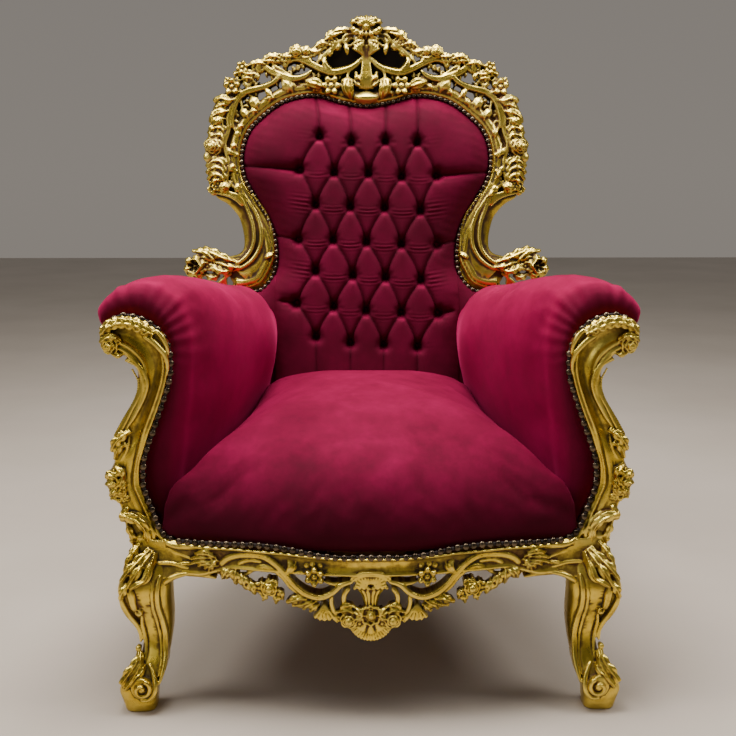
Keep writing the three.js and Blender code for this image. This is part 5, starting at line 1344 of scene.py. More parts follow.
def back_grid(nu, nv, nt):
    """Plan positions (x, z) of a grid that follows the outline of the back: straight rows, then rows that turn into its head."""
    pts = np.array(opening(-3.0))
    right = pts[pts[:, 0] >= 0]
    side = right[right[:, 1].argsort()]
    zs_side = [(z, x) for x, z in right[::-1] if z <= 962]
    zs_side.sort()
    dense = outline(1200)
    dense = dense[dense[:, 0] > 0]
    body = dense[dense[:, 1] < 962]
    order = np.argsort(body[:, 1])
    bz, bx = body[order, 1], body[order, 0]
    # keep the outer branch only
    zlev = np.linspace(300, 960, 200)
    wlev = np.array([bx[(bz > q - 4) & (bz < q + 4)].max() for q in zlev])
    head = outline(1600)
    k = np.where((head[:, 1] > 960))[0]
    head = head[k[0]:k[-1] + 1]
    u = np.linspace(-1, 1, nu)
    s = np.concatenate([[0], np.cumsum(np.linalg.norm(np.diff(head, axis=0), axis=1))])
    T = np.stack([np.interp((u + 1) / 2 * s[-1], s, head[:, i]) for i in (0, 1)], -1)
    rows = []
    for v in np.linspace(300, 960, nv):
        w = np.interp(v, zlev, wlev)
        rows.append(np.stack([u * w, np.full(nu, v)], -1))
    base = rows[-1]
    for t in np.linspace(0, 1, nt + 1)[1:]:
        rows.append(base * (1 - t) + T * t)
    return np.array(rows)


def closed_sheet(P, back_f):
    """Vertices and faces of a solid whose front is the grid P (rows, cols, [x, z, f]) and whose back is flat at back_f."""
    R, C, _ = P.shape
    f = []
    idx = np.arange(R * C).reshape(R, C)
    q = np.stack([idx[:-1, :-1], idx[:-1, 1:], idx[1:, 1:], idx[1:, :-1]], -1).reshape(-1, 4)
    f.extend(q.tolist())
    rim = np.concatenate([idx[0, :], idx[1:, -1], idx[-1, -2::-1], idx[-2:0:-1, 0]])
    n0 = R * C
    side = P.reshape(-1, 3)[rim].copy()
    side[:, 2] = back_f
    c = side.mean(0)
    m = len(rim)
    for j in range(m):
        k = (j + 1) % m
        f.append([int(rim[k]), int(rim[j]), n0 + j, n0 + k])
        f.append([n0 + k, n0 + j, n0 + m])
    return np.vstack([P.reshape(-1, 3), side, c]), f


def bigger(D, R, C):
    """Resamples a coarse grid of offsets to R x C."""
    r0, c0 = D.shape[:2]
    ri = np.linspace(0, r0 - 1, R)
    ci = np.linspace(0, c0 - 1, C)
    a = np.clip(ri.astype(int), 0, r0 - 2)
    b = np.clip(ci.astype(int), 0, c0 - 2)
    fr, fc = (ri - a)[:, None, None], (ci - b)[None, :, None]
    return ((D[a][:, b] * (1 - fr) + D[a + 1][:, b] * fr) * (1 - fc) + (D[a][:, b + 1] * (1 - fr) + D[a + 1][:, b + 1] * fr) * fc)


def swell(ob, pins, pressure=4.0, frames_=20, cap=22.0, stiff=15.0):
    """Runs the cover as cloth under pressure and returns how far each vertex moved, capped, in metres."""
    p0 = coords(ob.data)
    g = ob.vertex_groups.new(name="pins")
    for i in np.where(pins > 0.01)[0]:
        g.add([int(i)], float(min(1.0, pins[i])), "REPLACE")
    m = ob.modifiers.new("cloth", "CLOTH")
    s = m.settings
    s.quality = 3
    s.mass = 0.3
    s.tension_stiffness = s.compression_stiffness = stiff
    s.shear_stiffness = 5.0
    s.bending_stiffness = 0.8
    s.use_pressure = True
    s.uniform_pressure_force = pressure
    s.effector_weights.gravity = 0.0
    s.vertex_group_mass = "pins"
    m.collision_settings.use_collision = False
    m.point_cache.frame_start, m.point_cache.frame_end = 1, frames_
    scene = bpy.context.scene
    for k in range(1, frames_ + 1):
        scene.frame_set(k)
    dg = bpy.context.evaluated_depsgraph_get()
    me = ob.evaluated_get(dg).to_mesh()
    p1 = coords(me)
    ob.evaluated_get(dg).to_mesh_clear()
    ob.modifiers.remove(m)
    ob.vertex_groups.clear()
    scene.frame_set(1)
    d = p1 - p0
    ln = np.linalg.norm(d, axis=1, keepdims=True)
    lim = cap / 1000.0
    return d * np.where(ln > lim, lim / np.maximum(ln, 1e-9), 1.0)


def back_cushion():
    nu, nv, nt = ((250, 284, 66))
    plan = back_grid(nu, nv, nt)
    f, dark = tufted(plan[..., 0], plan[..., 1])
    f[:, 0] = f[:, -1] = 0.0
    f[0, :] = f[-1, :] = 0.0
    P = np.concatenate([plan, f[..., None]], -1)
    v, faces = closed_sheet(P, -18.0)
    ob = mesh_object("back_cushion_cover", to_row(bend_back(v)), faces)
    # painted shade of the creases and button holes, carried to the velvet
    shut = np.zeros(len(v), np.float32)
    shut[:dark.size] = dark.ravel()
    ob.data.attributes.new("crease", "FLOAT", "POINT").data.foreach_set("value", shut)
    return ob


def back_tuck():
    """The lower edge of the outside cover, turned in on the rear rail."""
    a = np.linspace(0, 2 * np.pi, 33)[:-1]
    y = 246.0 + 12.0 * np.sign(np.cos(a)) * np.abs(np.cos(a)) ** 0.5
    z = 307.0 + 11.0 * np.sign(np.sin(a)) * np.abs(np.sin(a)) ** 0.5
    xs = np.linspace(-203, 203, 90)
    n, m = len(xs), len(a)
    v = np.stack([np.repeat(xs, m), np.tile(y, n), np.tile(z, n)], -1)
    v = np.vstack([v, [[xs[0], 246, 307], [xs[-1], 246, 307]]]) / 1000.0
    faces = []
    for i in range(n - 1):
        for j in range(m):
            k = (j + 1) % m
            faces.append([i * m + j, i * m + k, (i + 1) * m + k, (i + 1) * m + j])
    for j in range(m):
        k = (j + 1) % m
        faces.append([n * m, k, j])
        faces.append([n * m + 1, (n - 1) * m + j, (n - 1) * m + k])
    return mesh_object("back_panel_tuck", v, faces)


def bodied(node, voxel, times, name):
    """A smooth closed cover started from a plain cushion body."""
    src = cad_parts[node]
    me = src.data.copy()
    me.transform(src.matrix_world)
    ob = bpy.data.objects.new(name, me)
    bpy.context.scene.collection.objects.link(ob)
    ob.modifiers.clear()
    m = ob.modifiers.new("fuse", "REMESH")
    m.mode, m.voxel_size, m.adaptivity = "VOXEL", voxel / 1000.0, 0.0
    baked(ob)
    put_points(ob, relax(coords(ob.data), edge_pairs(ob.data), times, 0.5))
    return ob


def put_points(ob, p):
    ob.data.vertices.foreach_set("co", p.astype(np.float32).ravel())
    ob.data.update()


def padded_cover(node, voxel, times, name, held, shape, slack=5.0, pressure=4.0, cap=22.0):
    """A cover that starts a little slack, is blown up as cloth with its nailed edges held, and is then trued to its outline.

    held(q, n) gives 1 where the cover is fixed and 0 where it is free; shape(q, n) moves the finished points (shared frame, mm)."""
    ob = bodied(node, voxel, times, name)
    p = coords(ob.data)
    n = vertex_normals(ob.data)
    hold = np.clip(held(p * 1000, n), 0, 1)
    free = (1 - hold)[:, None]
    put_points(ob, p - n * free * slack / 1000.0)
    d = swell(ob, hold, pressure, 16, cap)
    p1 = coords(ob.data) + d * free
    print("cloth", name, "moved", round(float(np.abs(d).max() * 1000), 1), "mean", round(float(np.linalg.norm(d, axis=1).mean() * 1000), 1))
    put_points(ob, relax(p1, edge_pairs(ob.data), 1, 0.5))
    put_points(ob, shape(coords(ob.data) * 1000, vertex_normals(ob.data)) / 1000)
    return ob


def vertex_normals(me):
    n = np.zeros(len(me.vertices) * 3, np.float32)
    me.vertices.foreach_get("normal", n)
    return n.reshape(-1, 3).astype(float)


def bump_at(q, at, size, by):
    """A soft local shift: `by` mm around `at`, falling off over `size` (mm, shared frame)."""
    r = (q - np.array(at, float)) / np.array(size, float)
    return np.exp(-(r ** 2).sum(1))[:, None] * np.array(by, float)


def seat_held(q, n):
    return np.maximum(smooth(338, 308, q[:, 2]), smooth(120, 170, q[:, 1]) * (q[:, 2] < 470))


def seat_shape(q, n):
    x, y, z = q.T
    up = smooth(0.3, 0.9, n[:, 2])
    crown = 3.0 * np.exp(-(x / 230.0) ** 2 - ((y + 110) / 190.0) ** 2)
    # shallow pulls: over the front edge and from the arms
    pull = 0.9 * np.sin(0.060 * x + 2.2 * np.sin(0.012 * (x + 40)) + 0.01 * y) * np.exp(-((y + 330) / 60.0) ** 2) * smooth(0.15, 0.6, -n[:, 1])
    side = 0.8 * np.sin(0.05 * y + 0.02 * x) * smooth(190, 290, np.abs(x)) * up
    fold = -1.6 * np.exp(-((y + 285 + 26 * (x / 200.0) ** 2 - 0.05 * x) / 7.0) ** 2) * np.exp(-((x + 10) / 70.0) ** 2) * up
    out = q.copy()
    out[:, 2] += crown * up + side + fold
    # the front corners fill the space between the arm facings
    out[:, 0] += np.sign(x) * 8.0 * smooth(20, 130, y) * smooth(400, 470, z) * smooth(110, 200, np.abs(x))
    out[:, 0] += np.sign(x) * 17.0 * smooth(-268, -300, y) * smooth(450, 385, z) * smooth(250, 335, np.abs(x))
    return out + n * pull[:, None]


def arm_held(q, n):
    return np.maximum.reduce([smooth(-225, -262, q[:, 1]), smooth(330, 306, q[:, 2]), smooth(230, 280, q[:, 1])])


def arm_shape(sign):
    def shape(q, n):
        a = q.copy()
        a[:, 0] *= sign
        x, y, z = a.T
        top = smooth(0.2, 0.8, n[:, 2])
        # nap and stuffing: long shallow waves, and pulls round the scroll at the front
        wave = 1.3 * np.sin(0.022 * y + 0.014 * z + 0.6) * np.sin(0.020 * x + 1.1)
        ang = np.arctan2(z - 632, x + 0.0 - 395)
        pulls = 0.75 * np.sin(17 * ang) * smooth(-150, -262, y) * smooth(-285, -262, y) * smooth(585, 640, z)
        inner = smooth(0.3, 0.8, -n[:, 0] * sign)
        lines = 0.8 * np.sin(0.075 * z + 0.5 * np.sin(0.03 * y)) * np.exp(-((y + 215) / 50.0) ** 2) * inner
        out = q + n * (wave + pulls + lines)[:, None]
        # the rear of the roll rises against the back
        lift = bump_at(a, (262, 215, 650), (52, 90, 80), (0, 0, 15.0))
        lift += bump_at(a, (222, 110, 560), (60, 70, 80), (-12.0, 0, 0))
        lift[:, 0] *= sign
        # the outer side keeps behind the carved facing
        out[:, 0] -= sign * 20.0 * smooth(386, 426, x) * smooth(630, 596, z) * smooth(-90, -190, y)
        return out + lift
    return shape


def gathered(ob, sign):
    """Small gathers where the arm's cover is drawn round the scroll to the nails."""
    p = coords(ob.data) * 1000
    n = vertex_normals(ob.data)
    x, y, z = p[:, 0] * sign, p[:, 1], p[:, 2]
    ang = np.arctan2(z - 632, x - 395)
    far = smooth(-205, -268, y) * smooth(-289, -280, y) * smooth(575, 625, z)
    fold = np.sin(27 * ang + 1.4 * np.sin(3 * ang)) * (0.65 + 0.35 * np.sin(5 * ang + 1.0))
    put_points(ob, (p + n * (1.35 * fold * far)[:, None]) / 1000)
    return ob


def panel_held(q, n):
    return np.maximum(smooth(0.0, -0.5, n[:, 1]), 0.0)


def panel_shape(q, n):
    return q


def thinned(ob, ratio):
    """Fewer triangles where the cover is nearly flat."""
    m = ob.modifiers.new("fewer", "DECIMATE")
    m.ratio = ratio
    return baked(ob)


def subdivided(ob, levels=1):
    m = ob.modifiers.new("fine", "SUBSURF")
    m.levels = m.render_levels = levels
    return baked(ob)


# ------------------------------------------------------------------ upholstery nails and the near-black band under them, painted as their shadow
def nail_run(name, path, normals, r, pitch, high=0.62):
    """Domed nail heads set edge to edge along path (mm, chair frame), each facing its normal."""
    p = np.array(path, float)
    seg = np.linalg.norm(np.diff(p, axis=0), axis=1)
    s = np.concatenate([[0], np.cumsum(seg)])
    n = max(2, int(round(s[-1] / pitch)) + 1)
    at = np.linspace(0, s[-1], n)
    q = np.stack([np.interp(at, s, p[:, k]) for k in range(3)], -1)
    nn = np.stack([np.interp(at, s, np.array(normals)[:, k]) for k in range(3)], -1)
    V, F = [], []
    lv = [(1.0, -0.25), (1.0, 0.0), (0.93, 0.36), (0.74, 0.67), (0.42, 0.91)]
    m = 12
    for k in range(n):
        w = nn[k] / np.linalg.norm(nn[k])
        w = w + rng.normal(0, 0.05, 3)
        w /= np.linalg.norm(w)
        a = np.cross(w, [0.3, 0.1, 0.95])
        a /= np.linalg.norm(a)
        b = np.cross(w, a)
        c0 = q[k] + rng.normal(0, 0.25, 3)
        rr = r * (1 + rng.normal(0, 0.02))
        base = len(V)
        for fr, h in lv:
            for j in range(m):
                t = 2 * math.pi * j / m
                V.append(c0 + rr * fr * (math.cos(t) * a + math.sin(t) * b) + rr * high * h * w)
        V.append(c0 + rr * high * w)
        V.append(c0 - rr * high * 0.25 * w)
        for i in range(len(lv) - 1):
            for j in range(m):
                F.append((base + i * m + j, base + i * m + (j + 1) % m, base + (i + 1) * m + (j + 1) % m, base + (i + 1) * m + j))
        top, bot = base + len(lv) * m, base + len(lv) * m + 1
        for j in range(m):
            F.append((base + (len(lv) - 1) * m + j, base + (len(lv) - 1) * m + (j + 1) % m, top))
            F.append((base + (j + 1) % m, base + j, bot))
    ob = mesh_object(name, to_row(np.array(V)), F)
    return outward(ob)


def shadow_band_strip(name, path, normals, half, thick=1.6):
    """A narrow band along path, lying under the nails; dressed near-black, it is painted shadow under and between the
    nail heads.
    """
    p = np.array(path, float)
    w = np.array(normals, float)
    w /= np.linalg.norm(w, axis=1, keepdims=True)
    t = np.gradient(p, axis=0)
    t /= np.linalg.norm(t, axis=1, keepdims=True)
    s = np.cross(t, w)
    s /= np.linalg.norm(s, axis=1, keepdims=True)
    prof = [(-1, -1.5), (-1, 0.4), (-0.6, 1), (0.6, 1), (1, 0.4), (1, -1.5)]
    rings = np.stack([p + s * half * a + w * thick * b for a, b in prof], 1)
    n, m = rings.shape[:2]
    F = [(i * m + j, i * m + (j + 1) % m, (i + 1) * m + (j + 1) % m, (i + 1) * m + j) for i in range(n - 1) for j in range(m)]
    F.append(tuple(range(m))[::-1])
    F.append(tuple((n - 1) * m + j for j in range(m)))
    ob = mesh_object(name, to_row(rings.reshape(-1, 3)), F)
    return outward(ob)


def back_line(n=260, f=5.0):
    """The nailed edge of the back, from one arm over the head to the other."""
    half_ = [(0, 1058), (55, 1067), (112, 1081), (179, 1069), (227, 1037), (259, 1003), (273, 960), (269, 905), (243, 858), (217, 815),
             (202, 775), (198, 735), (203, 699), (221, 669), (244, 657), (268, 655)]
    pts = [(-x, z) for x, z in half_[:0:-1]] + half_
    q = spline(pts, n)
    p = np.stack([q[:, 0], back_y(q[:, 1]) - f, q[:, 1]], -1)
    return p, np.tile(np.array([0, -1, 0.2]), (n, 1))


def arm_line(sign, n=150):
    """The nailed edge of one arm, from the tip of its scroll down to the seat rail."""
    pts = [(-424, 678, 4), (-410, 683.5, 4), (-394, 681.5, 4), (-378.5, 677, 4), (-366.5, 670, 4), (-355.5, 661, 4), (-346, 649, 4), (-339, 635, 4),
           (-335, 621, 4), (-334, 605, 4), (-335.5, 585, 4), (-339, 567, 4), (-346, 547, 4), (-353, 528, 4), (-361, 505, 4), (-369, 483, 4),
           (-377, 461, 4), (-384, 440, 4), (-387, 420, 4), (-388, 400, 4), (-387, 386, 5), (-382.5, 372, 6), (-377, 358, 8), (-371.5, 344, 10),
           (-367, 330, 12), (-361, 316, 14), (-352, 305, 16), (-341, 299.5, 18)]
    q = spline(pts, n)
    p = np.stack([q[:, 0] * -sign, -q[:, 2], q[:, 1]], -1)
    return p, np.tile(np.array([0.25 * -sign, -1, 0.05]), (n, 1))


def seat_line(n=200):
    """The nailed edge along the front rail."""
    half_ = [(0, 292), (25, 292), (50, 291.5), (77, 293), (103, 296.5), (130, 301.5), (166, 305), (200, 305), (248, 302), (292, 299.5), (326, 299)]
    pts = [(-x, z) for x, z in half_[:0:-1]] + half_
    q = spline(pts, n)
    p = np.stack([q[:, 0], bow_y(q[:, 0]) - 17.0, q[:, 1]], -1)
    dy = np.gradient(p[:, 1], p[:, 0])
    return p, np.stack([dy, -np.ones(n), 0.12 * np.ones(n)], -1)


def panel_line(n=260):
    """The nailed edge of the outside back."""
    q = spline([(x, z) for x, z in opening(1.0)], n)
    p = np.stack([q[:, 0], back_y(q[:, 1]) + 30.0, q[:, 1]], -1)
    return p, np.tile(np.array([0, 1, -0.2]), (n, 1))


# ------------------------------------------------------------------ materials
class Nodes:
    """A short hand for building a node material."""

    def __init__(self, name):
        self.mat = bpy.data.materials.new(name)
        self.mat.use_nodes = True
        self.t = self.mat.node_tree
        self.t.nodes.clear()
        self.out = self.t.nodes.new("ShaderNodeOutputMaterial")
        self.bsdf = self.t.nodes.new("ShaderNodeBsdfPrincipled")
        self.t.links.new(self.bsdf.outputs[0], self.out.inputs["Surface"])

    def node(self, kind, **inputs):
        n = self.t.nodes.new(kind)
        for k, v in inputs.items():
            if k.startswith("_"):
                setattr(n, k[1:], v)
            else:
                self.put(n.inputs[k.replace("__", " ")], v)
        return n

    def put(self, socket, v):
        if isinstance(v, bpy.types.NodeSocket):
            self.t.links.new(v, socket)
        elif isinstance(v, tuple) and len(v) == 3 and socket.type == "RGBA":
            socket.default_value = (*v, 1.0)
        else:
            socket.default_value = v

    def coord(self):
        return self.node("ShaderNodeTexCoord").outputs["Object"]

    def upward(self):
        """How far the surface faces up, from -1 to 1."""
        g = self.t.nodes.new("ShaderNodeNewGeometry")
        x = self.t.nodes.new("ShaderNodeSeparateXYZ")
        self.t.links.new(g.outputs["Normal"], x.inputs[0])
        return x.outputs["Z"]

    def forward(self):
        """How far the surface faces the front of the chair, from -1 to 1."""
        g = self.t.nodes.new("ShaderNodeNewGeometry")
        x = self.t.nodes.new("ShaderNodeSeparateXYZ")
        self.t.links.new(g.outputs["Normal"], x.inputs[0])
        return self.math("MULTIPLY", x.outputs["Y"], -1.0)

    def noise(self, scale, detail=3.0, rough=0.55, vector=None, kind="Fac"):
        n = self.node("ShaderNodeTexNoise", Scale=float(scale), Detail=float(detail), Roughness=float(rough))
        self.put(n.inputs["Vector"], vector if vector is not None else self.coord())
        return n.outputs[kind]

    def ramp(self, fac, stops, mode="LINEAR"):
        n = self.node("ShaderNodeValToRGB")
        n.color_ramp.interpolation = mode
        els = n.color_ramp.elements
        while len(els) < len(stops):
            els.new(0.5)
        for e, (p, c) in zip(els, stops):
            e.position = p
            e.color = (*c, 1) if isinstance(c, tuple) else (c, c, c, 1)
        self.put(n.inputs["Fac"], fac)
        return n.outputs["Color"]

    def mix(self, fac, a, b, mode="MIX"):
        n = self.node("ShaderNodeMix", _data_type="RGBA", _blend_type=mode)
        self.put(n.inputs[0], fac)
        self.put(n.inputs[6], a)
        self.put(n.inputs[7], b)
        return n.outputs[2]

    def math(self, op, a, b=0.0, c=0.0):
        n = self.node("ShaderNodeMath", _operation=op)
        for s, v in zip(n.inputs, (a, b, c)):
            self.put(s, v)
        return n.outputs[0]

    def attr(self, name):
        return self.node("ShaderNodeAttribute", _attribute_name=name).outputs["Fac"]

    def bump(self, height, strength=0.3, distance=0.001, normal=None):
        n = self.node("ShaderNodeBump", Strength=float(strength), Distance=float(distance), Height=height)
        if normal is not None:
            self.put(n.inputs["Normal"], normal)
        return n.outputs[0]


def gold_material(name, carved=True, shade_and_grime_bias=0.0, matt=0.26, wear_and_highlight_by=0.50):
    m = Nodes(name)
    big = m.noise(9, 4, 0.6)
    fine = m.noise(70, 4, 0.6)
    grit = m.noise(420, 3, 0.6)
    bright = m.ramp(big, [(0.30, (0.60, 0.40, 0.032)), (0.50, (0.74, 0.53, 0.060)), (0.72, (0.85, 0.66, 0.13))])
    bright = m.mix(m.ramp(fine, [(0.46, 0.0), (0.78, 0.40)]), bright, (0.42, 0.22, 0.012))
    if carved:
        # the carved gilding is darkened in its hollows: partly grime and bole in the recesses, partly painted shade
        shut = m.attr("shelter")
        deep = m.math("ADD", m.math("MULTIPLY", m.attr("hollow_fine"), 0.50), m.math("MULTIPLY", m.attr("hollow_broad"), 0.50))
        grime_and_painted_shade = m.math("ADD", deep, m.math("MULTIPLY_ADD", fine, 0.12, shade_and_grime_bias - 0.06))
        crevice = m.ramp(grime_and_painted_shade, [(0.500, 0.0), (0.545, 0.70), (0.61, 1.0)])
        # painted shade where the surface is closed in, like ambient occlusion
        shade = m.ramp(m.math("ADD", shut, m.math("MULTIPLY_ADD", big, 0.12, 8 * shade_and_grime_bias - 0.06)), [(0.30, 0.0), (0.58, 0.60), (0.88, 0.96)])
        # painted shade on faces that look down, as if shaded from the light above
        under = m.ramp(m.math("ADD", m.math("MULTIPLY", m.upward(), -1.0), m.math("MULTIPLY", m.math("SUBTRACT", fine, 0.5), 0.4)), [(0.15, 0.0), (0.80, 0.72)])
        painted_shade_and_grime = m.math("MAXIMUM", m.math("MAXIMUM", crevice, shade), under)
        # the dark colour of the painted shade and grime: bole brown
        bole_and_shade_colour = m.mix(m.ramp(big, [(0.45, 0.0), (0.62, 1.0)]), (0.040, 0.024, 0.006), (0.105, 0.042, 0.010))
        col = m.mix(painted_shade_and_grime, bright, bole_and_shade_colour)
        # proud parts lighter: wear on the high points and a painted highlight on the edges
        worn_and_painted_highlight = m.ramp(grime_and_painted_shade, [(0.36, 1.0), (0.47, 0.0)])
        col = m.mix(m.math("MULTIPLY", worn_and_painted_highlight, wear_and_highlight_by), col, (0.90, 0.71, 0.17))
        rough = m.math("ADD", m.math("MULTIPLY", painted_shade_and_grime, 0.28), m.math("MULTIPLY_ADD", big, 0.18, matt))
        metal = m.math("SUBTRACT", 1.0, m.math("MULTIPLY", painted_shade_and_grime, 0.40))
    else:
        col, rough, metal = bright, m.math("MULTIPLY_ADD", big, 0.20, 0.24), 1.0
    m.put(m.bsdf.inputs["Base Color"], col)
    m.put(m.bsdf.inputs["Roughness"], rough)
    m.put(m.bsdf.inputs["Metallic"], metal)
    h = m.math("ADD", m.math("MULTIPLY", grit, 0.35), fine)
    m.put(m.bsdf.inputs["Normal"], m.bump(h, 0.35, 0.0011))
    return m.mat


def painted_shade_backing_material(name):
    m = Nodes(name)
    grain = m.noise(30, 4, 0.6)
    # near-black: painted shade, standing for the shadow seen through the middle of the crest
    m.put(m.bsdf.inputs["Base Color"], m.ramp(grain, [(0.35, (0.010, 0.005, 0.004)), (0.65, (0.026, 0.013, 0.010))]))
    m.put(m.bsdf.inputs["Roughness"], m.math("MULTIPLY_ADD", grain, 0.2, 0.55))
    m.put(m.bsdf.inputs["Normal"], m.bump(grain, 0.3, 0.0008))
    return m.mat


def velvet_material(name, low=0.30, painted_light_gain=1.0, sheen=0.22, crease_shaded=False, rise=0.50, front=0.0):
    """Short-pile velvet with painted shade: tops are lighter and upright and downward faces deeper in colour, as under
    light from above.
    """
    m = Nodes(name)
    nap = m.noise(7, 5, 0.62)
    mid = m.noise(38, 4, 0.6)
    pile = m.noise(900, 2, 0.5)
    t = m.math("ADD", m.math("MULTIPLY", nap, 0.75), m.math("MULTIPLY", mid, 0.25))
    # painted light: the whole colour is scaled up or down for each copy of this velvet
    col = m.ramp(t, [(0.34, tuple(painted_light_gain * v for v in (0.120, 0.0003, 0.018))), (0.50, tuple(painted_light_gain * v for v in (0.175, 0.0006, 0.028))),
                     (0.68, tuple(painted_light_gain * v for v in (0.245, 0.0012, 0.044)))])
    # painted shade: the colour deepens as a face turns from up to upright and down, as under light from above
    light_from_above = m.math("ADD", m.upward(), m.math("MULTIPLY", m.math("SUBTRACT", t, 0.5), 0.55))
    deep = m.ramp(light_from_above, [(0.0, low), (0.25, low + 0.08), (0.60, low + rise * (1 - low)), (0.90, 1.0)])
    # painted shade on faces that look to the front
    if front:
        deep = m.math("MULTIPLY", deep, m.ramp(m.math("ADD", m.forward(), m.math("MULTIPLY", m.math("SUBTRACT", t, 0.5), 0.5)), [(0.30, 1.0), (0.92, 1.0 - front)]))
    # painted shade in the creases and button holes
    if crease_shaded:
        deep = m.math("MULTIPLY", deep, m.math("SUBTRACT", 1.0, m.math("MULTIPLY", m.attr("crease"), 0.9)))
    m.put(m.bsdf.inputs["Base Color"], m.mix(deep, (0.026, 0.0001, 0.0034), col))
    m.put(m.bsdf.inputs["Roughness"], m.math("MULTIPLY_ADD", mid, 0.12, 0.72))
    m.bsdf.inputs["Specular IOR Level"].default_value = 0.10
    m.bsdf.inputs["Sheen Weight"].default_value = sheen
    m.bsdf.inputs["Sheen Roughness"].default_value = 0.38
    m.bsdf.inputs["Sheen Tint"].default_value = (0.95, 0.05, 0.24, 1)
    m.put(m.bsdf.inputs["Normal"], m.bump(m.math("ADD", m.math("MULTIPLY", pile, 0.5), m.math("MULTIPLY", mid, 0.8)), 0.25, 0.0012))
    return m.mat


def nail_material(name):
    m = Nodes(name)
    n = m.noise(60, 3, 0.5)
    m.put(m.bsdf.inputs["Base Color"], m.ramp(n, [(0.35, (0.045, 0.032, 0.021)), (0.65, (0.16, 0.118, 0.074))]))
    m.put(m.bsdf.inputs["Roughness"], m.math("MULTIPLY_ADD", n, 0.2, 0.16))
    m.bsdf.inputs["Metallic"].default_value = 1.0
    return m.mat


def shadow_band_material(name):
    m = Nodes(name)
    n = m.noise(240, 3, 0.6)
    # near-black: painted shadow under and between the nail heads
    m.put(m.bsdf.inputs["Base Color"], m.ramp(n, [(0.35, (0.010, 0.005, 0.005)), (0.65, (0.028, 0.014, 0.012))]))
    m.put(m.bsdf.inputs["Roughness"], m.math("MULTIPLY_ADD", n, 0.2, 0.7))
    m.put(m.bsdf.inputs["Normal"], m.bump(n, 0.3, 0.0006))
    return m.mat


def floor_material(name):
    m = Nodes(name)
    n = m.noise(1.7, 5, 0.55)
    fine = m.noise(160, 3, 0.6)
    m.put(m.bsdf.inputs["Base Color"], m.ramp(m.math("ADD", m.math("MULTIPLY", n, 0.8), m.math("MULTIPLY", fine, 0.2)),
                                              [(0.3, (0.47, 0.395, 0.32)), (0.7, (0.54, 0.46, 0.38))]))
    m.put(m.bsdf.inputs["Roughness"], m.math("MULTIPLY_ADD", fine, 0.2, 0.6))
    m.put(m.bsdf.inputs["Normal"], m.bump(fine, 0.12, 0.0008))
    return m.mat


# copies of one gilding with more or less painted shade: the crest darker, the legs and arm fronts lighter
GOLD = gold_material("gilding_carved", matt=0.19, wear_and_highlight_by=0.42)
GOLD_LEG = gold_material("gilding_legs", shade_and_grime_bias=-0.014, matt=0.19, wear_and_highlight_by=0.42)
GOLD_BACK = gold_material("gilding_crest", shade_and_grime_bias=0.015, matt=0.17, wear_and_highlight_by=0.38)
GOLD_ARM = gold_material("gilding_arms", shade_and_grime_bias=-0.022, matt=0.18, wear_and_highlight_by=0.50)
GOLD_PLAIN = gold_material("gilding_plain", carved=False)
# copies of one velvet with their own painted light and shade: the arm covers lighter except where they face the front,
# the buttoned back and its sides with darker tops
VELVET = velvet_material("crimson_velvet", 0.22)
VELVET_BACK = velvet_material("crimson_velvet_buttoned", 0.30, 1.06, crease_shaded=True, rise=0.20)
VELVET_SIDES = velvet_material("crimson_velvet_back_sides", 0.30, 1.06, rise=0.20)
VELVET_ARM = velvet_material("crimson_velvet_arms", 0.78, 1.55, 0.45, front=0.62)
NAIL = nail_material("bronze_nails")
SHADOW_BAND = shadow_band_material("dark_gimp")
PAINTED_SHADE_BACKING = painted_shade_backing_material("dark_backing")


def dress(ob, mat):
    ob.data.materials.clear()
    ob.data.materials.append(mat)
    return ob


SOFT = ("left_arm_pad", "right_arm_pad", "seat_cushion", "back_cushion", "back_panel")
# the crest's backing board is dressed near-black as painted shade
for node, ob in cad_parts.items():
    dress(ob, VELVET if node in SOFT else PAINTED_SHADE_BACKING if node == "crest_backing" else GOLD_PLAIN)


def piece(ob, node, mat):
    dress(ob, mat)
    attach(ob, "root")
    if node:
        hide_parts(node)
    return ob


def mirrored(ob, name):
    """The same piece on the other side of the chair."""
    me = ob.data.copy()
    p = coords(me)
    p[:, 0] *= -1
    me.vertices.foreach_set("co", p.astype(np.float32).ravel())
    me.flip_normals()
    me.update()
    new = bpy.data.objects.new(name, me)
    bpy.context.scene.collection.objects.link(new)
    return new


piece(carve("back_frame_carved", back_carving(), bend_back, 1.7, 184000), "back_frame", GOLD_BACK)
piece(carve("front_rail_carved", apron_carving(), bend_bow, 1.5, 110000), "front_rail", GOLD)
arm = piece(carve("left_arm_front_carved", arm_carving(), bend_flat, 1.3, 70000), "left_arm_front", GOLD_ARM)
piece(mirrored(arm, "right_arm_front_carved"), "right_arm_front", GOLD_ARM)
leg = piece(carve("left_front_leg_carved", leg_carving(), bend_flat, 1.2, 60000), "left_front_leg", GOLD_LEG)
piece(mirrored(leg, "right_front_leg_carved"), "right_front_leg", GOLD_LEG)


def soft_piece(ob, node):
    piece(ob, node, VELVET_ARM if "arm" in node else VELVET_BACK if node == "back_cushion" else VELVET)
    return ob


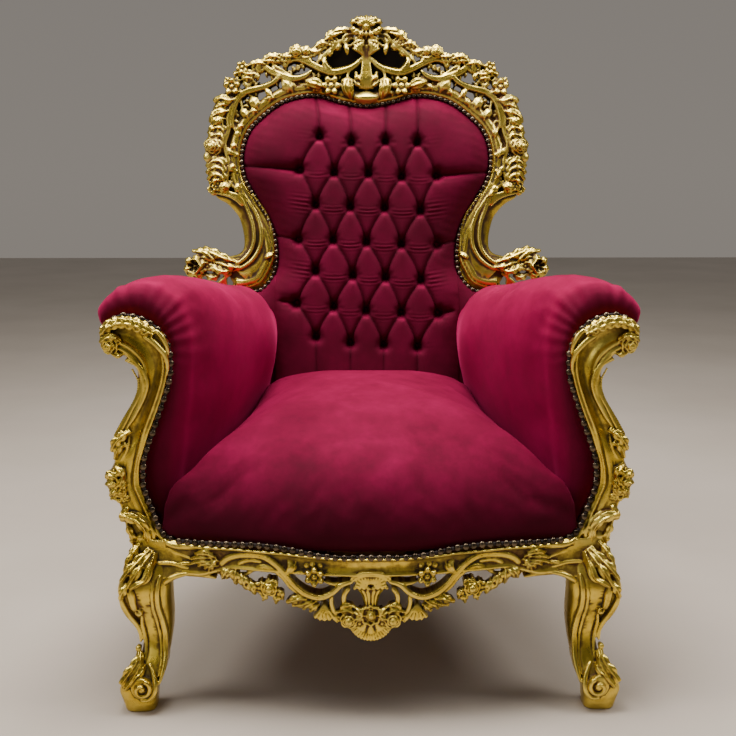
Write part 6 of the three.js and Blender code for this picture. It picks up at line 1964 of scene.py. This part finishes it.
soft_piece(back_cushion(), "back_cushion")
piece(carve("back_wings", back_wings(), bend_back, 2.4, 16000), None, VELVET_SIDES)
piece(back_tuck(), None, VELVET)
piece(button_heads(), None, VELVET_SIDES)
VOX = 8
soft_piece(padded_cover("seat_cushion", VOX, 14, "seat_cushion_cover", seat_held, seat_shape), "seat_cushion")
soft_piece(thinned(gathered(subdivided(padded_cover("left_arm_pad", VOX, 14, "left_arm_cover", arm_held, arm_shape(-1))), -1), 0.5), "left_arm_pad")
soft_piece(thinned(gathered(subdivided(padded_cover("right_arm_pad", VOX, 14, "right_arm_cover", arm_held, arm_shape(1))), 1), 0.5), "right_arm_pad")
soft_piece(bodied("back_panel", VOX, 6, "back_panel_cover"), "back_panel")


def trim(name, line, r, pitch, half, lift=0.0):
    p, w = line
    # a near-black band under the nails, painted as their shadow
    band_strip = shadow_band_strip(name + "_gimp", p, w, half)
    piece(band_strip, None, SHADOW_BAND)
    u = w / np.linalg.norm(w, axis=1, keepdims=True)
    piece(nail_run(name + "_nails", p + u * (1.2 + lift), w, r, pitch), None, NAIL)


trim("back", back_line(), 5.0, 12.0, 2.6)
trim("left_arm", arm_line(-1), 6.2, 15.4, 3.0)
trim("right_arm", arm_line(1), 6.2, 15.4, 3.0)
trim("seat", seat_line(), 5.9, 14.6, 3.0)
trim("outside_back", panel_line(), 4.5, 16.0, 5.0)


# ------------------------------------------------------------------ floor, light and view
def stage_mesh(name, verts, faces, mat):
    ob = mesh_object(name, verts, faces, False)
    dress(ob, mat)
    return ob


stage_mesh("floor", [(-9, -9, 0), (9, -9, 0), (9, 9, 0), (-9, 9, 0)], [(0, 1, 2, 3)], floor_material("pale_floor"))

world = bpy.data.worlds.new("studio")
bpy.context.scene.world = world
world.use_nodes = True
wt = world.node_tree
wt.nodes.clear()
wo = wt.nodes.new("ShaderNodeOutputWorld")
bg = wt.nodes.new("ShaderNodeBackground")
tc = wt.nodes.new("ShaderNodeTexCoord")
sx = wt.nodes.new("ShaderNodeSeparateXYZ")
wr = wt.nodes.new("ShaderNodeValToRGB")
mp = wt.nodes.new("ShaderNodeMapRange")
wt.links.new(tc.outputs["Generated"], sx.inputs[0])
wt.links.new(sx.outputs["Z"], mp.inputs[0])
mp.inputs[1].default_value, mp.inputs[2].default_value = -1.0, 1.0
wt.links.new(mp.outputs[0], wr.inputs[0])
els = wr.color_ramp.elements
els[0].position, els[0].color = 0.40, (0.56, 0.505, 0.45, 1)
els[1].position, els[1].color = 0.94, (1.0, 1.0, 1.0, 1)
for at, c in ((0.50, (0.58, 0.525, 0.47, 1)), (0.61, (0.53, 0.485, 0.44, 1)), (0.69, (0.16, 0.155, 0.15, 1)), (0.84, (0.22, 0.22, 0.22, 1))):
    els.new(at).color = c
wt.links.new(wr.outputs[0], bg.inputs[0])
bg.inputs[1].default_value = 0.42
wt.links.new(bg.outputs[0], wo.inputs[0])


def lamp(name, at, aim, size, power, colour=(1, 1, 1)):
    li = bpy.data.lights.new(name, "AREA")
    li.shape, li.size, li.size_y, li.energy, li.color = "RECTANGLE", size[0], size[1], power, colour
    ob = bpy.data.objects.new(name, li)
    bpy.context.scene.collection.objects.link(ob)
    ob.location = at
    ob.rotation_euler = (Vector(aim) - Vector(at)).to_track_quat("-Z", "Y").to_euler()
    return ob


lamp("overhead", (-0.1, 0.0, 3.1), (0, -0.08, 0.6), (2.0, 1.0), 128, (1.0, 0.99, 0.98))
lamp("high_left", (-2.0, -0.35, 2.7), (0.3, -0.05, 0.55), (0.9, 1.2), 50, (1.0, 0.99, 0.98))
lamp("high_right", (2.0, -0.35, 2.7), (-0.3, -0.05, 0.55), (0.9, 1.2), 40, (1.0, 0.99, 0.98))
lamp("fill", (-1.6, -3.0, 1.6), (0, 0, 0.6), (1.2, 1.0), 7, (1.0, 0.98, 0.95))

cam = bpy.data.cameras.new("view")
cam.sensor_width, cam.lens, cam.clip_start, cam.clip_end = 36.0, FOCAL / 736 * 36, 0.05, 60
view = bpy.data.objects.new("view", cam)
bpy.context.scene.collection.objects.link(view)
view.location = Vector(((EYE + np.array([0, DEPTH_SHIFT, 0])) / 1000).tolist())
view.rotation_euler = (math.pi / 2 - PITCH, 0.0, -YAW)
bpy.context.scene.camera = view
